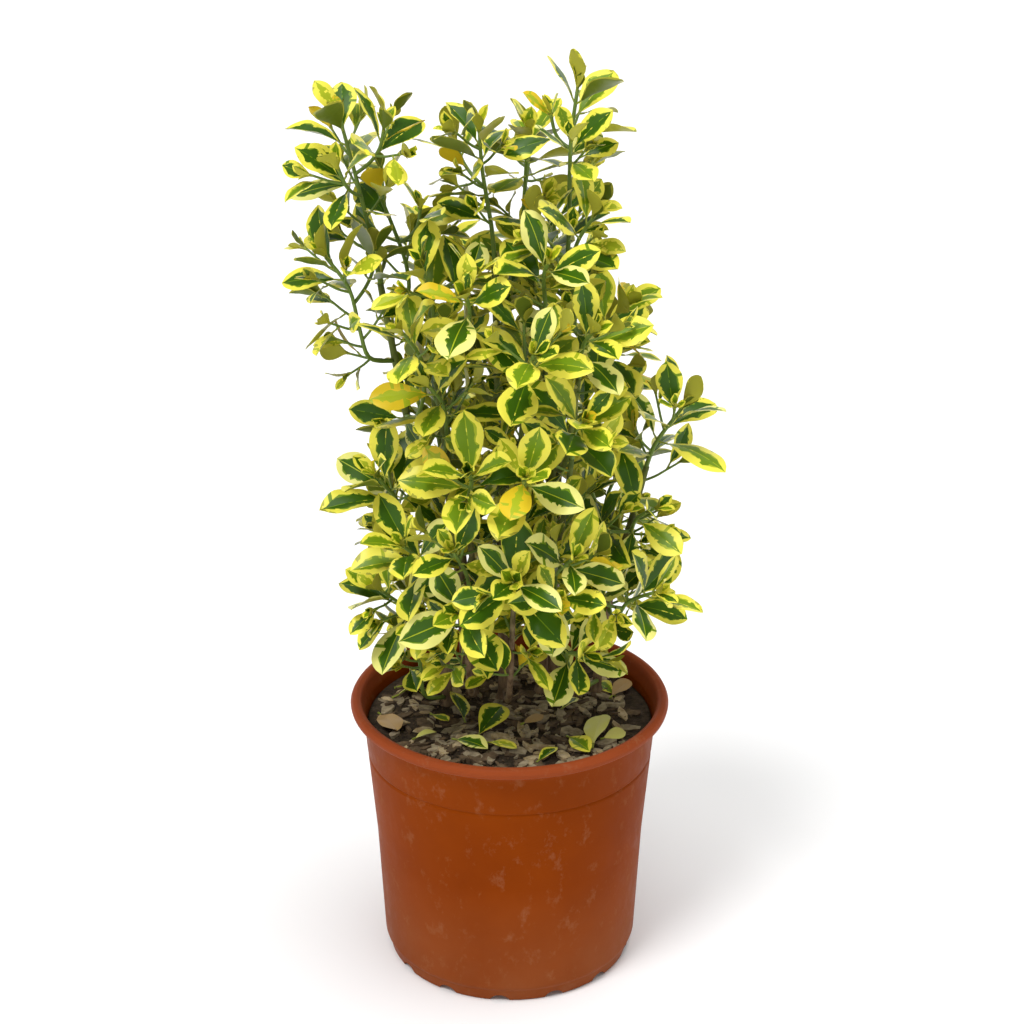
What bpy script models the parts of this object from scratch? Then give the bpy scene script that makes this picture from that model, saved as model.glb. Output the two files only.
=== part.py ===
# Variegated Japanese euonymus, a bushy evergreen shrub in a round plastic nursery pot.
# Metres, +Z up. The origin is on the ground under the middle of the pot.

import math
import random

import bmesh
import bpy
from mathutils import Vector
from mathutils.bvhtree import BVHTree

MM = 0.001
GAP = 0.3 * MM              # clearance between pieces that touch
UP = Vector((0.0, 0.0, 1.0))

# Pot: radii and heights of its turned section
POT_SIDES = 40
POT_TOP = 230 * MM
LIP_RADIUS = 130 * MM
LIP_INNER = 120 * MM
LIP_DEPTH = 13 * MM
WALL = 2.2 * MM
NECK_RADIUS = 119.8 * MM    # outside of the wall, just under the lip
WAIST_RADIUS = 110.4 * MM   # where the flare of the upper wall begins
WAIST_HEIGHT = 110 * MM
HEEL_RADIUS = 105.5 * MM    # outside of the wall, at the bottom corner
HEEL_HEIGHT = 13 * MM
GROOVE_HEIGHT = 182 * MM
GROOVE_DEPTH = 1.2 * MM
GROOVE_HALF = 1.8 * MM
FLOOR_UNDER = 6.5 * MM
FLOOR_TOP = 9 * MM
PAD_RADIUS = 22 * MM        # round pad in the middle of the underside
FOOT_OUTER = 101 * MM
FOOT_INNER = 92 * MM
FOOT_COUNT = 14
FOOT_GAP_RADIUS = 9 * MM
FOOT_GAP_HEIGHT = 5.2 * MM
DRAIN_COUNT = 6
DRAIN_RADIUS = 5 * MM
DRAIN_RING = 66 * MM

# Soil
SOIL_TOP = 208 * MM
SOIL_FLAT = 94 * MM         # radius of the level part that the stems stand on
SOIL_DIP = 4 * MM           # how far the soil falls towards the wall

# Stems and boughs
STEM_SIDES = 8
BOUGH_SIDES = 6
BOUGH_RADIUS = 2.9 * MM
BOUGH_TIP = 2.0 * MM
FLARE = 0.55                # how much wider a stem is at the soil
FLARE_HEIGHT = 12 * MM
COLLAR = 2.5 * MM           # straight start of a shoot, square to the limb it leaves

# Foliage
TWIG_SIDES = 3
TWIG_RADIUS = 2.0 * MM
TWIG_TIP = 1.4 * MM
LEAF_LENGTH = 52 * MM
LEAF_WIDTH = 0.66           # of its length
LEAF_THICK = 0.020          # of its length
LEAF_SINK = 0.3 * MM        # how far a leaf's root goes past the twig's middle
PAIR_STEP = (3, 8, 11, 13, 15)             # from the tip down, mm
PAIR_OPEN = (24, 44, 60, 74, 84)           # angle from the twig, degrees
PAIR_SIZE = (0.66, 0.88, 1.0, 1.05, 1.0)   # of the leaf's length
PAIR_TILT = 9               # chance difference of that angle, degrees
PAIR_TWIST = 12             # chance difference of a leaf's direction round the twig
LEAF_LIFT = 0.35            # how much a leaf turns its face up to the light
MAIN_RINGS = 6
SIDE_START = 44 * MM        # from the tip of the main twig to its first side twig
SIDE_STEP = 17 * MM
SIDE_REACH = 42 * MM
SIDE_PAIRS = 3
SIDE_SIZE = 0.88            # of a leaf on the main twig
CLEAR = 0.4 * MM            # room kept round each leaf and twig
OWN_MARGIN = 30 * MM        # how far a leaf may go past halfway to another mass
NEAR = 60 * MM              # leaves further apart than this cannot touch
SOIL_CLEAR = 6 * MM
SEED = 11

# Stems: foot on the soil, tip, radius at foot and tip, all in mm
STEMS = {
    "stem_left": ((-52, 22), (-98, 2, 578), 4.4, 2.4),
    "stem_centre": ((-4, 30), (-11, 4, 590), 5.6, 2.6),
    "stem_centre_left": ((-31, 38), (-56, -14, 505), 4.4, 2.4),
    "stem_centre_right": ((27, 44), (44, 5, 594), 4.6, 2.4),
    "stem_right": ((73, 40), (108, 10, 425), 4.0, 2.4),
    "stem_back_left": ((-38, 74), (-64, 60, 495), 4.2, 2.4),
    "stem_back_right": ((36, 78), (44, 74, 515), 4.4, 2.4),
}

# Boughs: the stem, the share of its length where the bough leaves, the bough's tip
BOUGHS = {
    "bough_upper_left": ("stem_centre", 0.80, (-29, -46, 545)),
    "bough_upper_right": ("stem_centre_right", 0.78, (27, -40, 568)),
    "bough_upper_front": ("stem_centre", 0.64, (12, -62, 508)),
    "bough_right_front": ("stem_centre_right", 0.66, (52, -50, 520)),
    "bough_middle_right": ("stem_centre_right", 0.50, (47, -66, 462)),
    "bough_middle_front": ("stem_centre", 0.46, (10, -78, 432)),
    "bough_middle_left": ("stem_centre_left", 0.54, (-30, -60, 424)),
    "bough_outer_left": ("stem_left", 0.44, (-86, -24, 402)),
    "bough_low_front": ("stem_centre", 0.24, (3, -76, 342)),
    "bough_low_left": ("stem_centre_left", 0.26, (-34, -68, 322)),
}

# Masses: the limb, the share of its length, the heart of the rosette in mm,
# the rise of the shoot there in degrees, pairs of leaves, side shoots
MASSES = {
    "leaves_arm_top": ("stem_left", 1.0, (-125, 0, 706), 76, 5, 2),
    "leaves_arm_inner": ("stem_left", 0.95, (-98, 6, 648), 70, 4, 1),
    "leaves_arm_outer": ("stem_left", 0.88, (-136, -30, 608), 36, 4, 1),
    "leaves_shoulder_left": ("stem_centre_left", 1.0, (-64, -46, 604), 66, 5, 1),
    "leaves_left_high": ("stem_left", 0.78, (-78, -64, 560), 38, 4, 1),
    "leaves_upper_left": ("bough_upper_left", 1.0, (-31, -78, 592), 48, 4, 1),
    "leaves_left_inner": ("stem_centre_left", 0.86, (-60, -56, 516), 30, 4, 0),
    "leaves_top_left": ("stem_centre", 1.0, (-22, -4, 696), 80, 5, 1),
    "leaves_top_right": ("stem_centre_right", 1.0, (50, 2, 726), 80, 5, 2),
    "leaves_top_middle": ("stem_centre_right", 0.95, (14, 14, 690), 72, 4, 1),
    "leaves_side_right": ("stem_centre_right", 0.90, (62, -34, 640), 34, 4, 1),
    "leaves_upper_right": ("bough_upper_right", 1.0, (28, -72, 616), 44, 4, 1),
    "leaves_shoulder_right": ("stem_centre_right", 0.84, (86, -22, 566), 30, 4, 1),
    "leaves_upper_front": ("bough_upper_front", 1.0, (18, -100, 556), 36, 4, 1),
    "leaves_right_front": ("bough_right_front", 1.0, (60, -82, 566), 42, 4, 1),
    "leaves_middle_right": ("bough_middle_right", 1.0, (54, -102, 505), 34, 4, 1),
    "leaves_middle_front": ("bough_middle_front", 1.0, (12, -114, 466), 34, 4, 1),
    "leaves_middle_left": ("bough_middle_left", 1.0, (-30, -96, 462), 42, 4, 1),
    "leaves_outer_left": ("bough_outer_left", 1.0, (-100, -50, 440), 60, 4, 1),
    "leaves_lower_left": ("stem_left", 0.34, (-80, -76, 394), 24, 4, 1),
    "leaves_front_left": ("stem_centre_left", 0.44, (-42, -104, 402), 36, 4, 0),
    "leaves_front": ("bough_low_front", 1.0, (4, -114, 382), 34, 4, 1),
    "leaves_front_right": ("stem_centre_right", 0.36, (48, -94, 392), 26, 4, 1),
    "leaves_low_left": ("bough_low_left", 1.0, (-38, -106, 352), 20, 4, 1),
    "leaves_low_outer": ("stem_left", 0.20, (-100, -52, 346), 20, 4, 0),
    "leaves_low_right": ("stem_right", 0.50, (112, -60, 348), 16, 4, 1),
    "leaves_low_front": ("stem_right", 0.26, (58, -54, 292), -4, 4, 0),
    "leaves_right_tip": ("stem_right", 1.0, (134, 0, 478), 56, 5, 1),
    "leaves_right_low": ("stem_right", 0.80, (112, -44, 412), 20, 4, 1),
    "leaves_back_top_left": ("stem_back_left", 1.0, (-60, 58, 600), 68, 5, 1),
    "leaves_back_top_right": ("stem_back_right", 1.0, (36, 62, 622), 70, 5, 1),
    "leaves_back_left": ("stem_back_left", 0.84, (-74, 92, 522), 36, 4, 1),
    "leaves_back_middle": ("stem_back_left", 0.90, (-6, 98, 556), 42, 4, 1),
    "leaves_back_right": ("stem_back_right", 0.84, (92, 62, 532), 38, 4, 1),
    "leaves_back_lower_left": ("stem_back_left", 0.62, (-58, 110, 446), 32, 4, 1),
    "leaves_back_lower_right": ("stem_back_right", 0.62, (16, 122, 456), 34, 4, 1),
    "leaves_back_outer_right": ("stem_back_right", 0.46, (96, 78, 404), 28, 4, 1),
    "leaves_back_low_left": ("stem_back_left", 0.34, (-98, 62, 372), 22, 4, 1),
    "leaves_back_low": ("stem_back_right", 0.26, (6, 118, 346), 18, 4, 1),
}


def make_material(name, colour, roughness):
    material = bpy.data.materials.new(name)
    material.use_nodes = True
    shader = material.node_tree.nodes["Principled BSDF"]
    shader.inputs["Base Color"].default_value = (*colour, 1.0)
    shader.inputs["Roughness"].default_value = roughness
    material.diffuse_color = (*colour, 1.0)
    return material


def add_object(name, verts, faces, material):
    mesh = bpy.data.meshes.new(name)
    mesh.from_pydata([tuple(v) for v in verts], [], faces)
    mesh.materials.append(material)
    mesh.validate()
    piece = bpy.data.objects.new(name, mesh)
    bpy.context.scene.collection.objects.link(piece)
    return piece


def turned(profile, sides):
    """Verts and faces of a turned solid whose profile runs from axis to axis."""
    verts = []
    rings = []
    for radius, height in profile:
        if radius == 0.0:
            rings.append([len(verts)])
            verts.append(Vector((0.0, 0.0, height)))
            continue
        rings.append(list(range(len(verts), len(verts) + sides)))
        for i in range(sides):
            turn = 2 * math.pi * i / sides
            verts.append(Vector((radius * math.cos(turn), radius * math.sin(turn), height)))
    faces = []
    for low, high in zip(rings, rings[1:]):
        for i in range(sides):
            j = (i + 1) % sides
            if len(low) == 1:
                faces.append((low[0], high[j], high[i]))
            elif len(high) == 1:
                faces.append((low[i], low[j], high[0]))
            else:
                faces.append((low[i], low[j], high[j], high[i]))
    return verts, faces


def wall_radius(height):
    """Outside radius of the pot's wall, whose upper part flares more."""
    if height < WAIST_HEIGHT:
        share = (height - HEEL_HEIGHT) / (WAIST_HEIGHT - HEEL_HEIGHT)
        return HEEL_RADIUS + share * (WAIST_RADIUS - HEEL_RADIUS)
    share = (height - WAIST_HEIGHT) / (POT_TOP - LIP_DEPTH - WAIST_HEIGHT)
    return WAIST_RADIUS + share * (NECK_RADIUS - WAIST_RADIUS)


def pot_profile():
    neck = POT_TOP - LIP_DEPTH
    groove = wall_radius(GROOVE_HEIGHT) - GROOVE_DEPTH
    lip_mid = (LIP_RADIUS + LIP_INNER) / 2
    lip_half = (LIP_RADIUS - LIP_INNER) / 2
    underside = [
        (0.0, 0.0),
        (PAD_RADIUS, 0.0),
        (PAD_RADIUS + 3 * MM, FLOOR_UNDER),
        (FOOT_INNER - 2 * MM, FLOOR_UNDER),
        (FOOT_INNER, 0.0),
        (FOOT_OUTER, 0.0),
        (FOOT_OUTER + 2 * MM, HEEL_HEIGHT - 3 * MM),
        (HEEL_RADIUS - 0.6 * MM, HEEL_HEIGHT - 0.5 * MM),
        (HEEL_RADIUS, HEEL_HEIGHT + 1.5 * MM),
    ]
    outside = [
        (WAIST_RADIUS, WAIST_HEIGHT),
        (wall_radius(GROOVE_HEIGHT - GROOVE_HALF), GROOVE_HEIGHT - GROOVE_HALF),
        (groove, GROOVE_HEIGHT),
        (wall_radius(GROOVE_HEIGHT + GROOVE_HALF), GROOVE_HEIGHT + GROOVE_HALF),
        (NECK_RADIUS, neck),
        (NECK_RADIUS + 5 * MM, neck + 2 * MM),
    ]
    # The lip is rolled: its outer half is an arc from under its edge to its inner side
    rolled = []
    for step in range(6):
        turn = math.radians(-35 + 42 * step)
        rolled.append((
            lip_mid + lip_half * math.cos(turn),
            POT_TOP - lip_half * (1.0 - math.sin(turn)),
        ))
    inside = [
        (wall_radius(neck) - WALL, neck - 2 * MM),
        (WAIST_RADIUS - WALL, WAIST_HEIGHT),
        (HEEL_RADIUS - WALL, HEEL_HEIGHT + 3 * MM),
        (HEEL_RADIUS - WALL - 5 * MM, FLOOR_TOP),
        (0.0, FLOOR_TOP),
    ]
    return underside + outside + rolled + inside


def rod(start, end, radius, sides):
    """Verts and faces of a round rod, used as a cutter."""
    path = [Vector(start), Vector(end)]
    return tube(path, [radius, radius], sides)


def make_pot(material):
    pot = add_object("pot", *turned(pot_profile(), POT_SIDES), material)
    verts = []
    faces = []

    def add_cutter(shape):
        base = len(verts)
        verts.extend(shape[0])
        faces.extend(tuple(i + base for i in face) for face in shape[1])

    for i in range(FOOT_COUNT):
        turn = 2 * math.pi * (i + 0.32) / FOOT_COUNT
        out = Vector((math.cos(turn), math.sin(turn), 0.0))
        sunk = UP * (FOOT_GAP_HEIGHT - FOOT_GAP_RADIUS)
        start = out * (FOOT_INNER - 8 * MM) + sunk
        end = out * (HEEL_RADIUS + 4 * MM) + sunk
        add_cutter(rod(start, end, FOOT_GAP_RADIUS, 12))
    for i in range(DRAIN_COUNT):
        turn = 2 * math.pi * i / DRAIN_COUNT
        spot = Vector((math.cos(turn), math.sin(turn), 0.0)) * DRAIN_RING
        add_cutter(rod(spot - UP * 4 * MM, spot + UP * 14 * MM, DRAIN_RADIUS, 8))
    cutter = add_object("pot_cutter", verts, faces, material)
    apply_boolean(pot, "DIFFERENCE", "EXACT", target=cutter)
    bpy.data.objects.remove(cutter)
    return pot


def make_soil(material):
    wall_gap = WALL + 0.4 * MM
    edge_top = SOIL_TOP - SOIL_DIP
    profile = [
        (0.0, FLOOR_TOP + GAP),
        (HEEL_RADIUS - wall_gap - 5 * MM, FLOOR_TOP + GAP),
        (HEEL_RADIUS - wall_gap, HEEL_HEIGHT + 3.4 * MM),
        (WAIST_RADIUS - wall_gap, WAIST_HEIGHT),
        (wall_radius(edge_top) - wall_gap, edge_top),
        (SOIL_FLAT, SOIL_TOP),
        (0.0, SOIL_TOP),
    ]
    return add_object("soil", *turned(profile, POT_SIDES), material)


def apply_boolean(piece, operation, solver, target=None, group=None):
    modifier = piece.modifiers.new("join", "BOOLEAN")
    modifier.operation = operation
    modifier.solver = solver
    if group is None:
        modifier.object = target
    else:
        modifier.operand_type = "COLLECTION"
        modifier.collection = group
    graph = bpy.context.evaluated_depsgraph_get()
    result = bpy.data.meshes.new_from_object(piece.evaluated_get(graph), depsgraph=graph)
    piece.modifiers.clear()
    old = piece.data
    piece.data = result
    result.name = piece.name
    bpy.data.meshes.remove(old)


def curve(start, start_way, end, end_way, count, straight=0.0):
    """Points along a cubic curve that leaves and arrives in the given directions."""
    foot = [start] if straight else []
    start = start + start_way.normalized() * straight
    reach = (end - start).length * 0.38
    near = start + start_way.normalized() * reach
    far = end - end_way.normalized() * reach
    points = foot
    count -= len(foot)
    for i in range(count):
        t = i / (count - 1)
        s = 1.0 - t
        points.append(start * s**3 + near * 3 * s * s * t + far * 3 * s * t * t + end * t**3)
    return points


def frames(points):
    """Direction and two cross directions at each point, carried on without twist."""
    ways = []
    for i in range(len(points)):
        before = points[max(i - 1, 0)]
        after = points[min(i + 1, len(points) - 1)]
        ways.append((after - before).normalized())
    side = ways[0].cross(Vector((0.31, 0.87, 0.37))).normalized()
    result = []
    for way in ways:
        side = (side - way * side.dot(way)).normalized()
        result.append((way, side, way.cross(side)))
    return result


def tube(points, radii, sides):
    verts = []
    faces = []
    for point, radius, (_, side, other) in zip(points, radii, frames(points)):
        for i in range(sides):
            turn = 2 * math.pi * i / sides
            verts.append(point + (side * math.cos(turn) + other * math.sin(turn)) * radius)
    for ring in range(len(points) - 1):
        for i in range(sides):
            j = (i + 1) % sides
            a = ring * sides
            faces.append((a + i, a + j, a + sides + j, a + sides + i))
    faces.append(tuple(reversed(range(sides))))
    last = (len(points) - 1) * sides
    faces.append(tuple(range(last, last + sides)))
    return verts, faces


def taper(thick, thin, count):
    return [thick + (thin - thick) * i / (count - 1) for i in range(count)]


class Limb:
    """A stem or bough: a curve with a radius at each point."""

    def __init__(self, name, points, radii):
        self.name = name
        self.points = points
        self.radii = radii
        self.frames = frames(points)

    def at(self, share):
        """Place, direction and radius at a share of the length."""
        spot = share * (len(self.points) - 1)
        i = min(int(spot), len(self.points) - 2)
        part = spot - i
        point = self.points[i].lerp(self.points[i + 1], part)
        way = (self.points[i + 1] - self.points[i]).normalized()
        radius = self.radii[i] * (1 - part) + self.radii[i + 1] * part
        return point, way, radius


def grow_stem(name):
    foot, tip, foot_radius, tip_radius = STEMS[name]
    start = Vector((foot[0] * MM, foot[1] * MM, SOIL_TOP + GAP))
    end = Vector(tip) * MM
    lean = Vector((end.x - start.x, end.y - start.y, 0.0)) / (end.z - start.z)
    # A stem rises straight off the soil, so its foot is cut level
    first = [start, start + UP * FLARE_HEIGHT * 0.35, start + UP * FLARE_HEIGHT]
    rest = curve(first[-1], UP + lean * 0.3, end, UP + lean * 1.2, 7)
    points = first + rest[1:]
    radii = []
    for point in points:
        share = (point.z - start.z) / (end.z - start.z)
        radius = foot_radius + (tip_radius - foot_radius) * share
        rise = (point.z - start.z) / FLARE_HEIGHT
        radii.append(MM * radius * (1 + FLARE * max(0.0, 1 - rise) ** 2))
    return Limb(name, points, radii)


def seat(limb, share, target):
    """Where a shoot that leaves a limb starts, and its direction there."""
    point, way, radius = limb.at(share)
    if share == 1.0:
        way = (limb.points[-1] - limb.points[-2]).normalized()
        return point + way * GAP, way
    out = target - point
    out = (out - way * out.dot(way)).normalized()
    return point + out * (radius + GAP), out


def grow_bough(name, limbs):
    stem, share, tip = BOUGHS[name]
    end = Vector(tip) * MM
    start, way = seat(limbs[stem], share, end)
    out = (end - start).normalized()
    points = curve(start, way, end, out + UP * 0.5, 7, COLLAR)
    return Limb(name, points, taper(BOUGH_RADIUS, BOUGH_TIP, len(points)))


class Leaf:
    """One leaf: root, direction of the midrib, side, upper face and length."""

    def __init__(self, root, way, side, length):
        self.root = root
        self.way = way
        self.side = side
        self.face = side.cross(way)
        self.length = length

    def spot(self, along, across, lift):
        return (self.root + self.way * along * self.length
                + self.side * across * self.length + self.face * lift * self.length)

    def solid(self):
        """Eight faces: a folded blade whose root is sunk in the twig."""
        half = LEAF_WIDTH * 0.55
        crease = self.spot(0.44, 0.0, 0.02)
        lift = self.face * LEAF_THICK * self.length / 2
        verts = [
            self.root - self.way * LEAF_SINK,
            self.spot(0.56, -half, 0.05),
            self.spot(1.0, 0.0, -0.05),
            self.spot(0.56, half, 0.05),
            crease + lift,
            crease - lift,
        ]
        faces = []
        for i in range(4):
            j = (i + 1) % 4
            faces.append((i, 4, j))
            faces.append((j, 5, i))
        return verts, faces

    def feeler(self):
        """A thicker plate of the leaf's outline, used to test that it is clear."""
        half = LEAF_WIDTH * 0.57
        outline = (
            (0.07, -0.07), (0.34, -half * 0.74), (0.57, -half), (0.82, -half * 0.64),
            (1.02, 0.0), (0.82, half * 0.64), (0.57, half), (0.34, half * 0.74), (0.07, 0.07),
        )
        verts = []
        for lift in (-1, 1):
            for along, across in outline:
                bend = 0.02 - 0.12 * max(0.0, along - 0.5) + 0.08 * abs(across)
                place = self.spot(along, across, bend)
                verts.append(place + self.face * lift * (CLEAR + 0.3 * MM))
        count = len(outline)
        faces = [tuple(reversed(range(count))), tuple(range(count, 2 * count))]
        for i in range(count):
            j = (i + 1) % count
            faces.append((i, j, count + j, count + i))
        return BVHTree.FromPolygons(verts, faces)


class Shoot:
    """A twig with pairs of leaves crosswise along it, closest at its tip."""

    def __init__(self, points, radii, pairs, turn, size):
        self.points = points
        self.radii = radii
        self.frames = frames(points)
        self.pairs = pairs
        self.turn = turn
        self.size = size
        self.length = sum((b - a).length for a, b in zip(points, points[1:]))

    def at(self, from_tip):
        """Place, direction and two cross directions at a distance from the tip."""
        left = max(self.length - from_tip, 0.0)
        for i in range(len(self.points) - 1):
            step = (self.points[i + 1] - self.points[i]).length
            if left <= step or i == len(self.points) - 2:
                point = self.points[i].lerp(self.points[i + 1], min(left / step, 1.0))
                way = (self.points[i + 1] - self.points[i]).normalized()
                side = self.frames[i][1]
                side = (side - way * side.dot(way)).normalized()
                return point, way, side, way.cross(side)
            left -= step

    def leaf(self, pair, which, bend, twist, scale):
        """Leaf of a pair, counted from the tip; it turns its face to the light."""
        from_tip = sum(PAIR_STEP[:pair + 1]) * MM
        if from_tip > self.length - 6 * MM:
            return None
        point, way, side, other = self.at(from_tip)
        turn = self.turn + pair * math.pi / 2 + which * math.pi + twist
        out = side * math.cos(turn) + other * math.sin(turn)
        opened = math.radians(PAIR_OPEN[pair] + bend)
        rib = way * math.cos(opened) + out * math.sin(opened)
        face = way * math.sin(opened) - out * math.cos(opened) + UP * LEAF_LIFT
        face = (face - rib * face.dot(rib)).normalized()
        length = LEAF_LENGTH * PAIR_SIZE[pair] * self.size * scale
        return Leaf(point, rib, rib.cross(face), length)


class Mass:
    """The shoots and leaves of one node."""

    def __init__(self, name):
        self.name = name
        self.random = random.Random(SEED * 1000 + list(MASSES).index(name))
        self.shoots = []
        self.leaves = []


def shoot_tube(points, radii, extra):
    return BVHTree.FromPolygons(*tube(points, [r + extra for r in radii], 6))


def is_clear(feeler, obstacles):
    return not any(feeler.overlap(other) for other in obstacles)


def route(start, way, end, end_way, radii, obstacles):
    """A curve for a twig that bends aside where the plain one would touch something."""
    side = end_way.orthogonal().normalized()
    other = end_way.cross(side)
    for lean in (0.0, 0.3, 0.6, 1.0, 1.5):
        for step in range(10 if lean else 1):
            turn = step * math.pi / 5
            aside = (side * math.cos(turn) + other * math.sin(turn)) * lean
            points = curve(start, way, end, end_way + aside, len(radii), COLLAR)
            if is_clear(shoot_tube(points[1:], radii[1:], CLEAR), obstacles):
                return points
    raise RuntimeError("a twig finds no clear way")


def grow_mass(name, limbs, obstacles):
    """The main twig of a mass from its limb to its heart, and its side twigs."""
    limb, share, heart, rise, pairs, sides = MASSES[name]
    mass = Mass(name)
    end = Vector(heart) * MM
    start, way = seat(limbs[limb], share, end)
    level = Vector((end.x, end.y, 0.0))
    level = level.normalized() if level.length > 25 * MM else Vector((0.0, -1.0, 0.0))
    pitch = math.radians(rise)
    end_way = level * math.cos(pitch) + UP * math.sin(pitch)
    radii = taper(TWIG_RADIUS, TWIG_TIP, MAIN_RINGS)
    points = route(start, way, end, end_way, radii, obstacles)
    main_twig = Shoot(points, radii, pairs, mass.random.uniform(0, math.pi), 1.0)
    mass.shoots.append(main_twig)
    for i in range(sides):
        from_tip = SIDE_START + i * SIDE_STEP
        if from_tip < main_twig.length - SIDE_STEP:
            twig = grow_side_twig(main_twig, from_tip, mass.random.uniform(0, math.pi), obstacles)
            if twig is not None:
                mass.shoots.append(twig)
    return mass


def grow_side_twig(main_twig, from_tip, turn, obstacles):
    """A side twig that leaves the main one where the other masses leave most room."""
    point, way, side, other = main_twig.at(from_tip)

    def outward(step):
        angle = main_twig.turn + step * math.pi / 6
        return side * math.cos(angle) + other * math.sin(angle)

    def room(step):
        away = point + (way * 0.58 + outward(step) * 0.82) * SIDE_REACH
        return min((away - Vector(spec[2]) * MM).length for spec in MASSES.values())

    out = outward(max(range(12), key=room))
    tip = point + (way * 0.62 + out * 0.72 + UP * 0.1) * SIDE_REACH
    radii = taper(TWIG_TIP * 1.05, TWIG_TIP * 0.95, 4)
    path = curve(point, out + way * 0.4, tip, way + out * 0.3 + UP * 0.3, 4)
    free = [path[0].lerp(path[1], 0.7)] + path[1:]
    if not is_clear(shoot_tube(free, radii, CLEAR), obstacles):
        return None
    return Shoot(path, radii, SIDE_PAIRS, turn, SIDE_SIZE)


def in_own_space(leaf, mass, hearts):
    middle = leaf.spot(0.6, 0.0, 0.0)
    own = (middle - hearts[mass.name]).length
    return all(own < (middle - place).length + OWN_MARGIN for place in hearts.values())


def grow_leaves(masses, fixed):
    """Pairs from the tips down, mass by mass, each leaf only where it is clear."""
    hearts = {name: Vector(spec[2]) * MM for name, spec in MASSES.items()}
    placed = []
    for pair in range(len(PAIR_STEP)):
        for mass in masses:
            for shoot in mass.shoots:
                if pair >= shoot.pairs:
                    continue
                for which in range(2):
                    leaf = fit_leaf(mass, shoot, pair, which, hearts, placed, fixed)
                    if leaf is None:
                        continue
                    mass.leaves.append(leaf)
                    placed.append((leaf.spot(0.5, 0, 0), leaf.feeler()))


def fit_leaf(mass, shoot, pair, which, hearts, placed, fixed):
    """The leaf at its natural angle, or turned or smaller where that is not clear."""
    tilt = mass.random.uniform(-PAIR_TILT, PAIR_TILT)
    twist = math.radians(mass.random.uniform(-PAIR_TWIST, PAIR_TWIST))
    size = mass.random.uniform(0.88, 1.12)
    others = [tree for owner, tree in fixed if owner is not shoot]
    for scale in (1.0, 0.85, 0.72):
        for turn in (0, 0.3, -0.3, 0.6, -0.6):
            for bend in (0, 14, -14):
                leaf = shoot.leaf(pair, which, tilt + bend, twist + turn, size * scale)
                if leaf is None:
                    return None
                if leaf.spot(1, 0, 0).z < SOIL_TOP + SOIL_CLEAR:
                    continue
                if not in_own_space(leaf, mass, hearts):
                    continue
                middle = leaf.spot(0.5, 0, 0)
                near = [tree for place, tree in placed if (place - middle).length < NEAR]
                if is_clear(leaf.feeler(), near + others):
                    return leaf
    return None


def join_mass(mass, material, drop=0):
    """One closed body from the twigs and leaves of a mass."""
    group = bpy.data.collections.new(mass.name + "_parts")
    bpy.context.scene.collection.children.link(group)
    shapes = [tube(s.points, s.radii, TWIG_SIDES) for s in mass.shoots]
    shapes += [leaf.solid() for leaf in mass.leaves[:len(mass.leaves) - drop]]
    piece = add_object(mass.name, *shapes[0], material)
    for i, shape in enumerate(shapes[1:]):
        part = add_object(mass.name + "_part_" + str(i), *shape, material)
        bpy.context.scene.collection.objects.unlink(part)
        group.objects.link(part)
    spare = piece.data.copy()
    for solver in ("EXACT", "MANIFOLD"):
        apply_boolean(piece, "UNION", solver, group=group)
        if tidy_body(piece):
            break
        piece.data = spare.copy()
    else:
        solver = "none"
    for part in list(group.objects):
        bpy.data.objects.remove(part)
    bpy.data.collections.remove(group)
    bpy.data.meshes.remove(spare)
    if solver != "none":
        return piece
    bpy.data.objects.remove(piece)
    return join_mass(mass, material, drop + 1)


def tidy_body(piece):
    """Keep the one large shell of a body; true if it is closed."""
    return any(weld_body(piece, dist) for dist in (0.002 * MM, 0.0005 * MM, 0.0))


def weld_body(piece, dist):
    work = bmesh.new()
    work.from_mesh(piece.data)
    bmesh.ops.triangulate(work, faces=work.faces)
    if dist:
        bmesh.ops.dissolve_degenerate(work, edges=work.edges, dist=dist)
        bmesh.ops.triangulate(work, faces=work.faces)
    work.verts.ensure_lookup_table()
    seen = set()
    shells = []
    for vert in work.verts:
        if vert in seen:
            continue
        shell = {vert}
        stack = [vert]
        while stack:
            for edge in stack.pop().link_edges:
                for other in edge.verts:
                    if other not in shell:
                        shell.add(other)
                        stack.append(other)
        seen |= shell
        shells.append(shell)
    shells.sort(key=len, reverse=True)
    for shell in shells[1:]:
        bmesh.ops.delete(work, geom=list(shell), context="VERTS")
    closed = all(edge.is_manifold for edge in work.edges) and len(work.faces) > 0
    if closed:
        work.to_mesh(piece.data)
    work.free()
    return closed


def main():
    for piece in list(bpy.data.objects):
        bpy.data.objects.remove(piece)
    plastic = make_material("pot_plastic", (0.30, 0.075, 0.016), 0.42)
    earth = make_material("soil_bark_mix", (0.055, 0.038, 0.024), 0.95)
    bark = make_material("stem_bark", (0.20, 0.16, 0.07), 0.8)
    foliage = make_material("leaf_green_and_cream", (0.33, 0.42, 0.08), 0.4)

    make_pot(plastic)
    make_soil(earth)

    limbs = {name: grow_stem(name) for name in STEMS}
    for name in BOUGHS:
        limbs[name] = grow_bough(name, limbs)
    fixed = []
    for name, limb in limbs.items():
        sides = STEM_SIDES if name in STEMS else BOUGH_SIDES
        shape = tube(limb.points, limb.radii, sides)
        add_object(name, *shape, bark)
        fixed.append((limb, BVHTree.FromPolygons(*shape)))

    masses = []
    for name in MASSES:
        mass = grow_mass(name, limbs, [tree for _, tree in fixed])
        masses.append(mass)
        for shoot in mass.shoots:
            fixed.append((shoot, shoot_tube(shoot.points, shoot.radii, 0.0)))
    rim = BVHTree.FromPolygons(*turned(pot_profile(), POT_SIDES))
    fixed.append((None, rim))
    grow_leaves(masses, fixed)
    for mass in masses:
        join_mass(mass, foliage)


main()
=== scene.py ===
import math
import random

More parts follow.
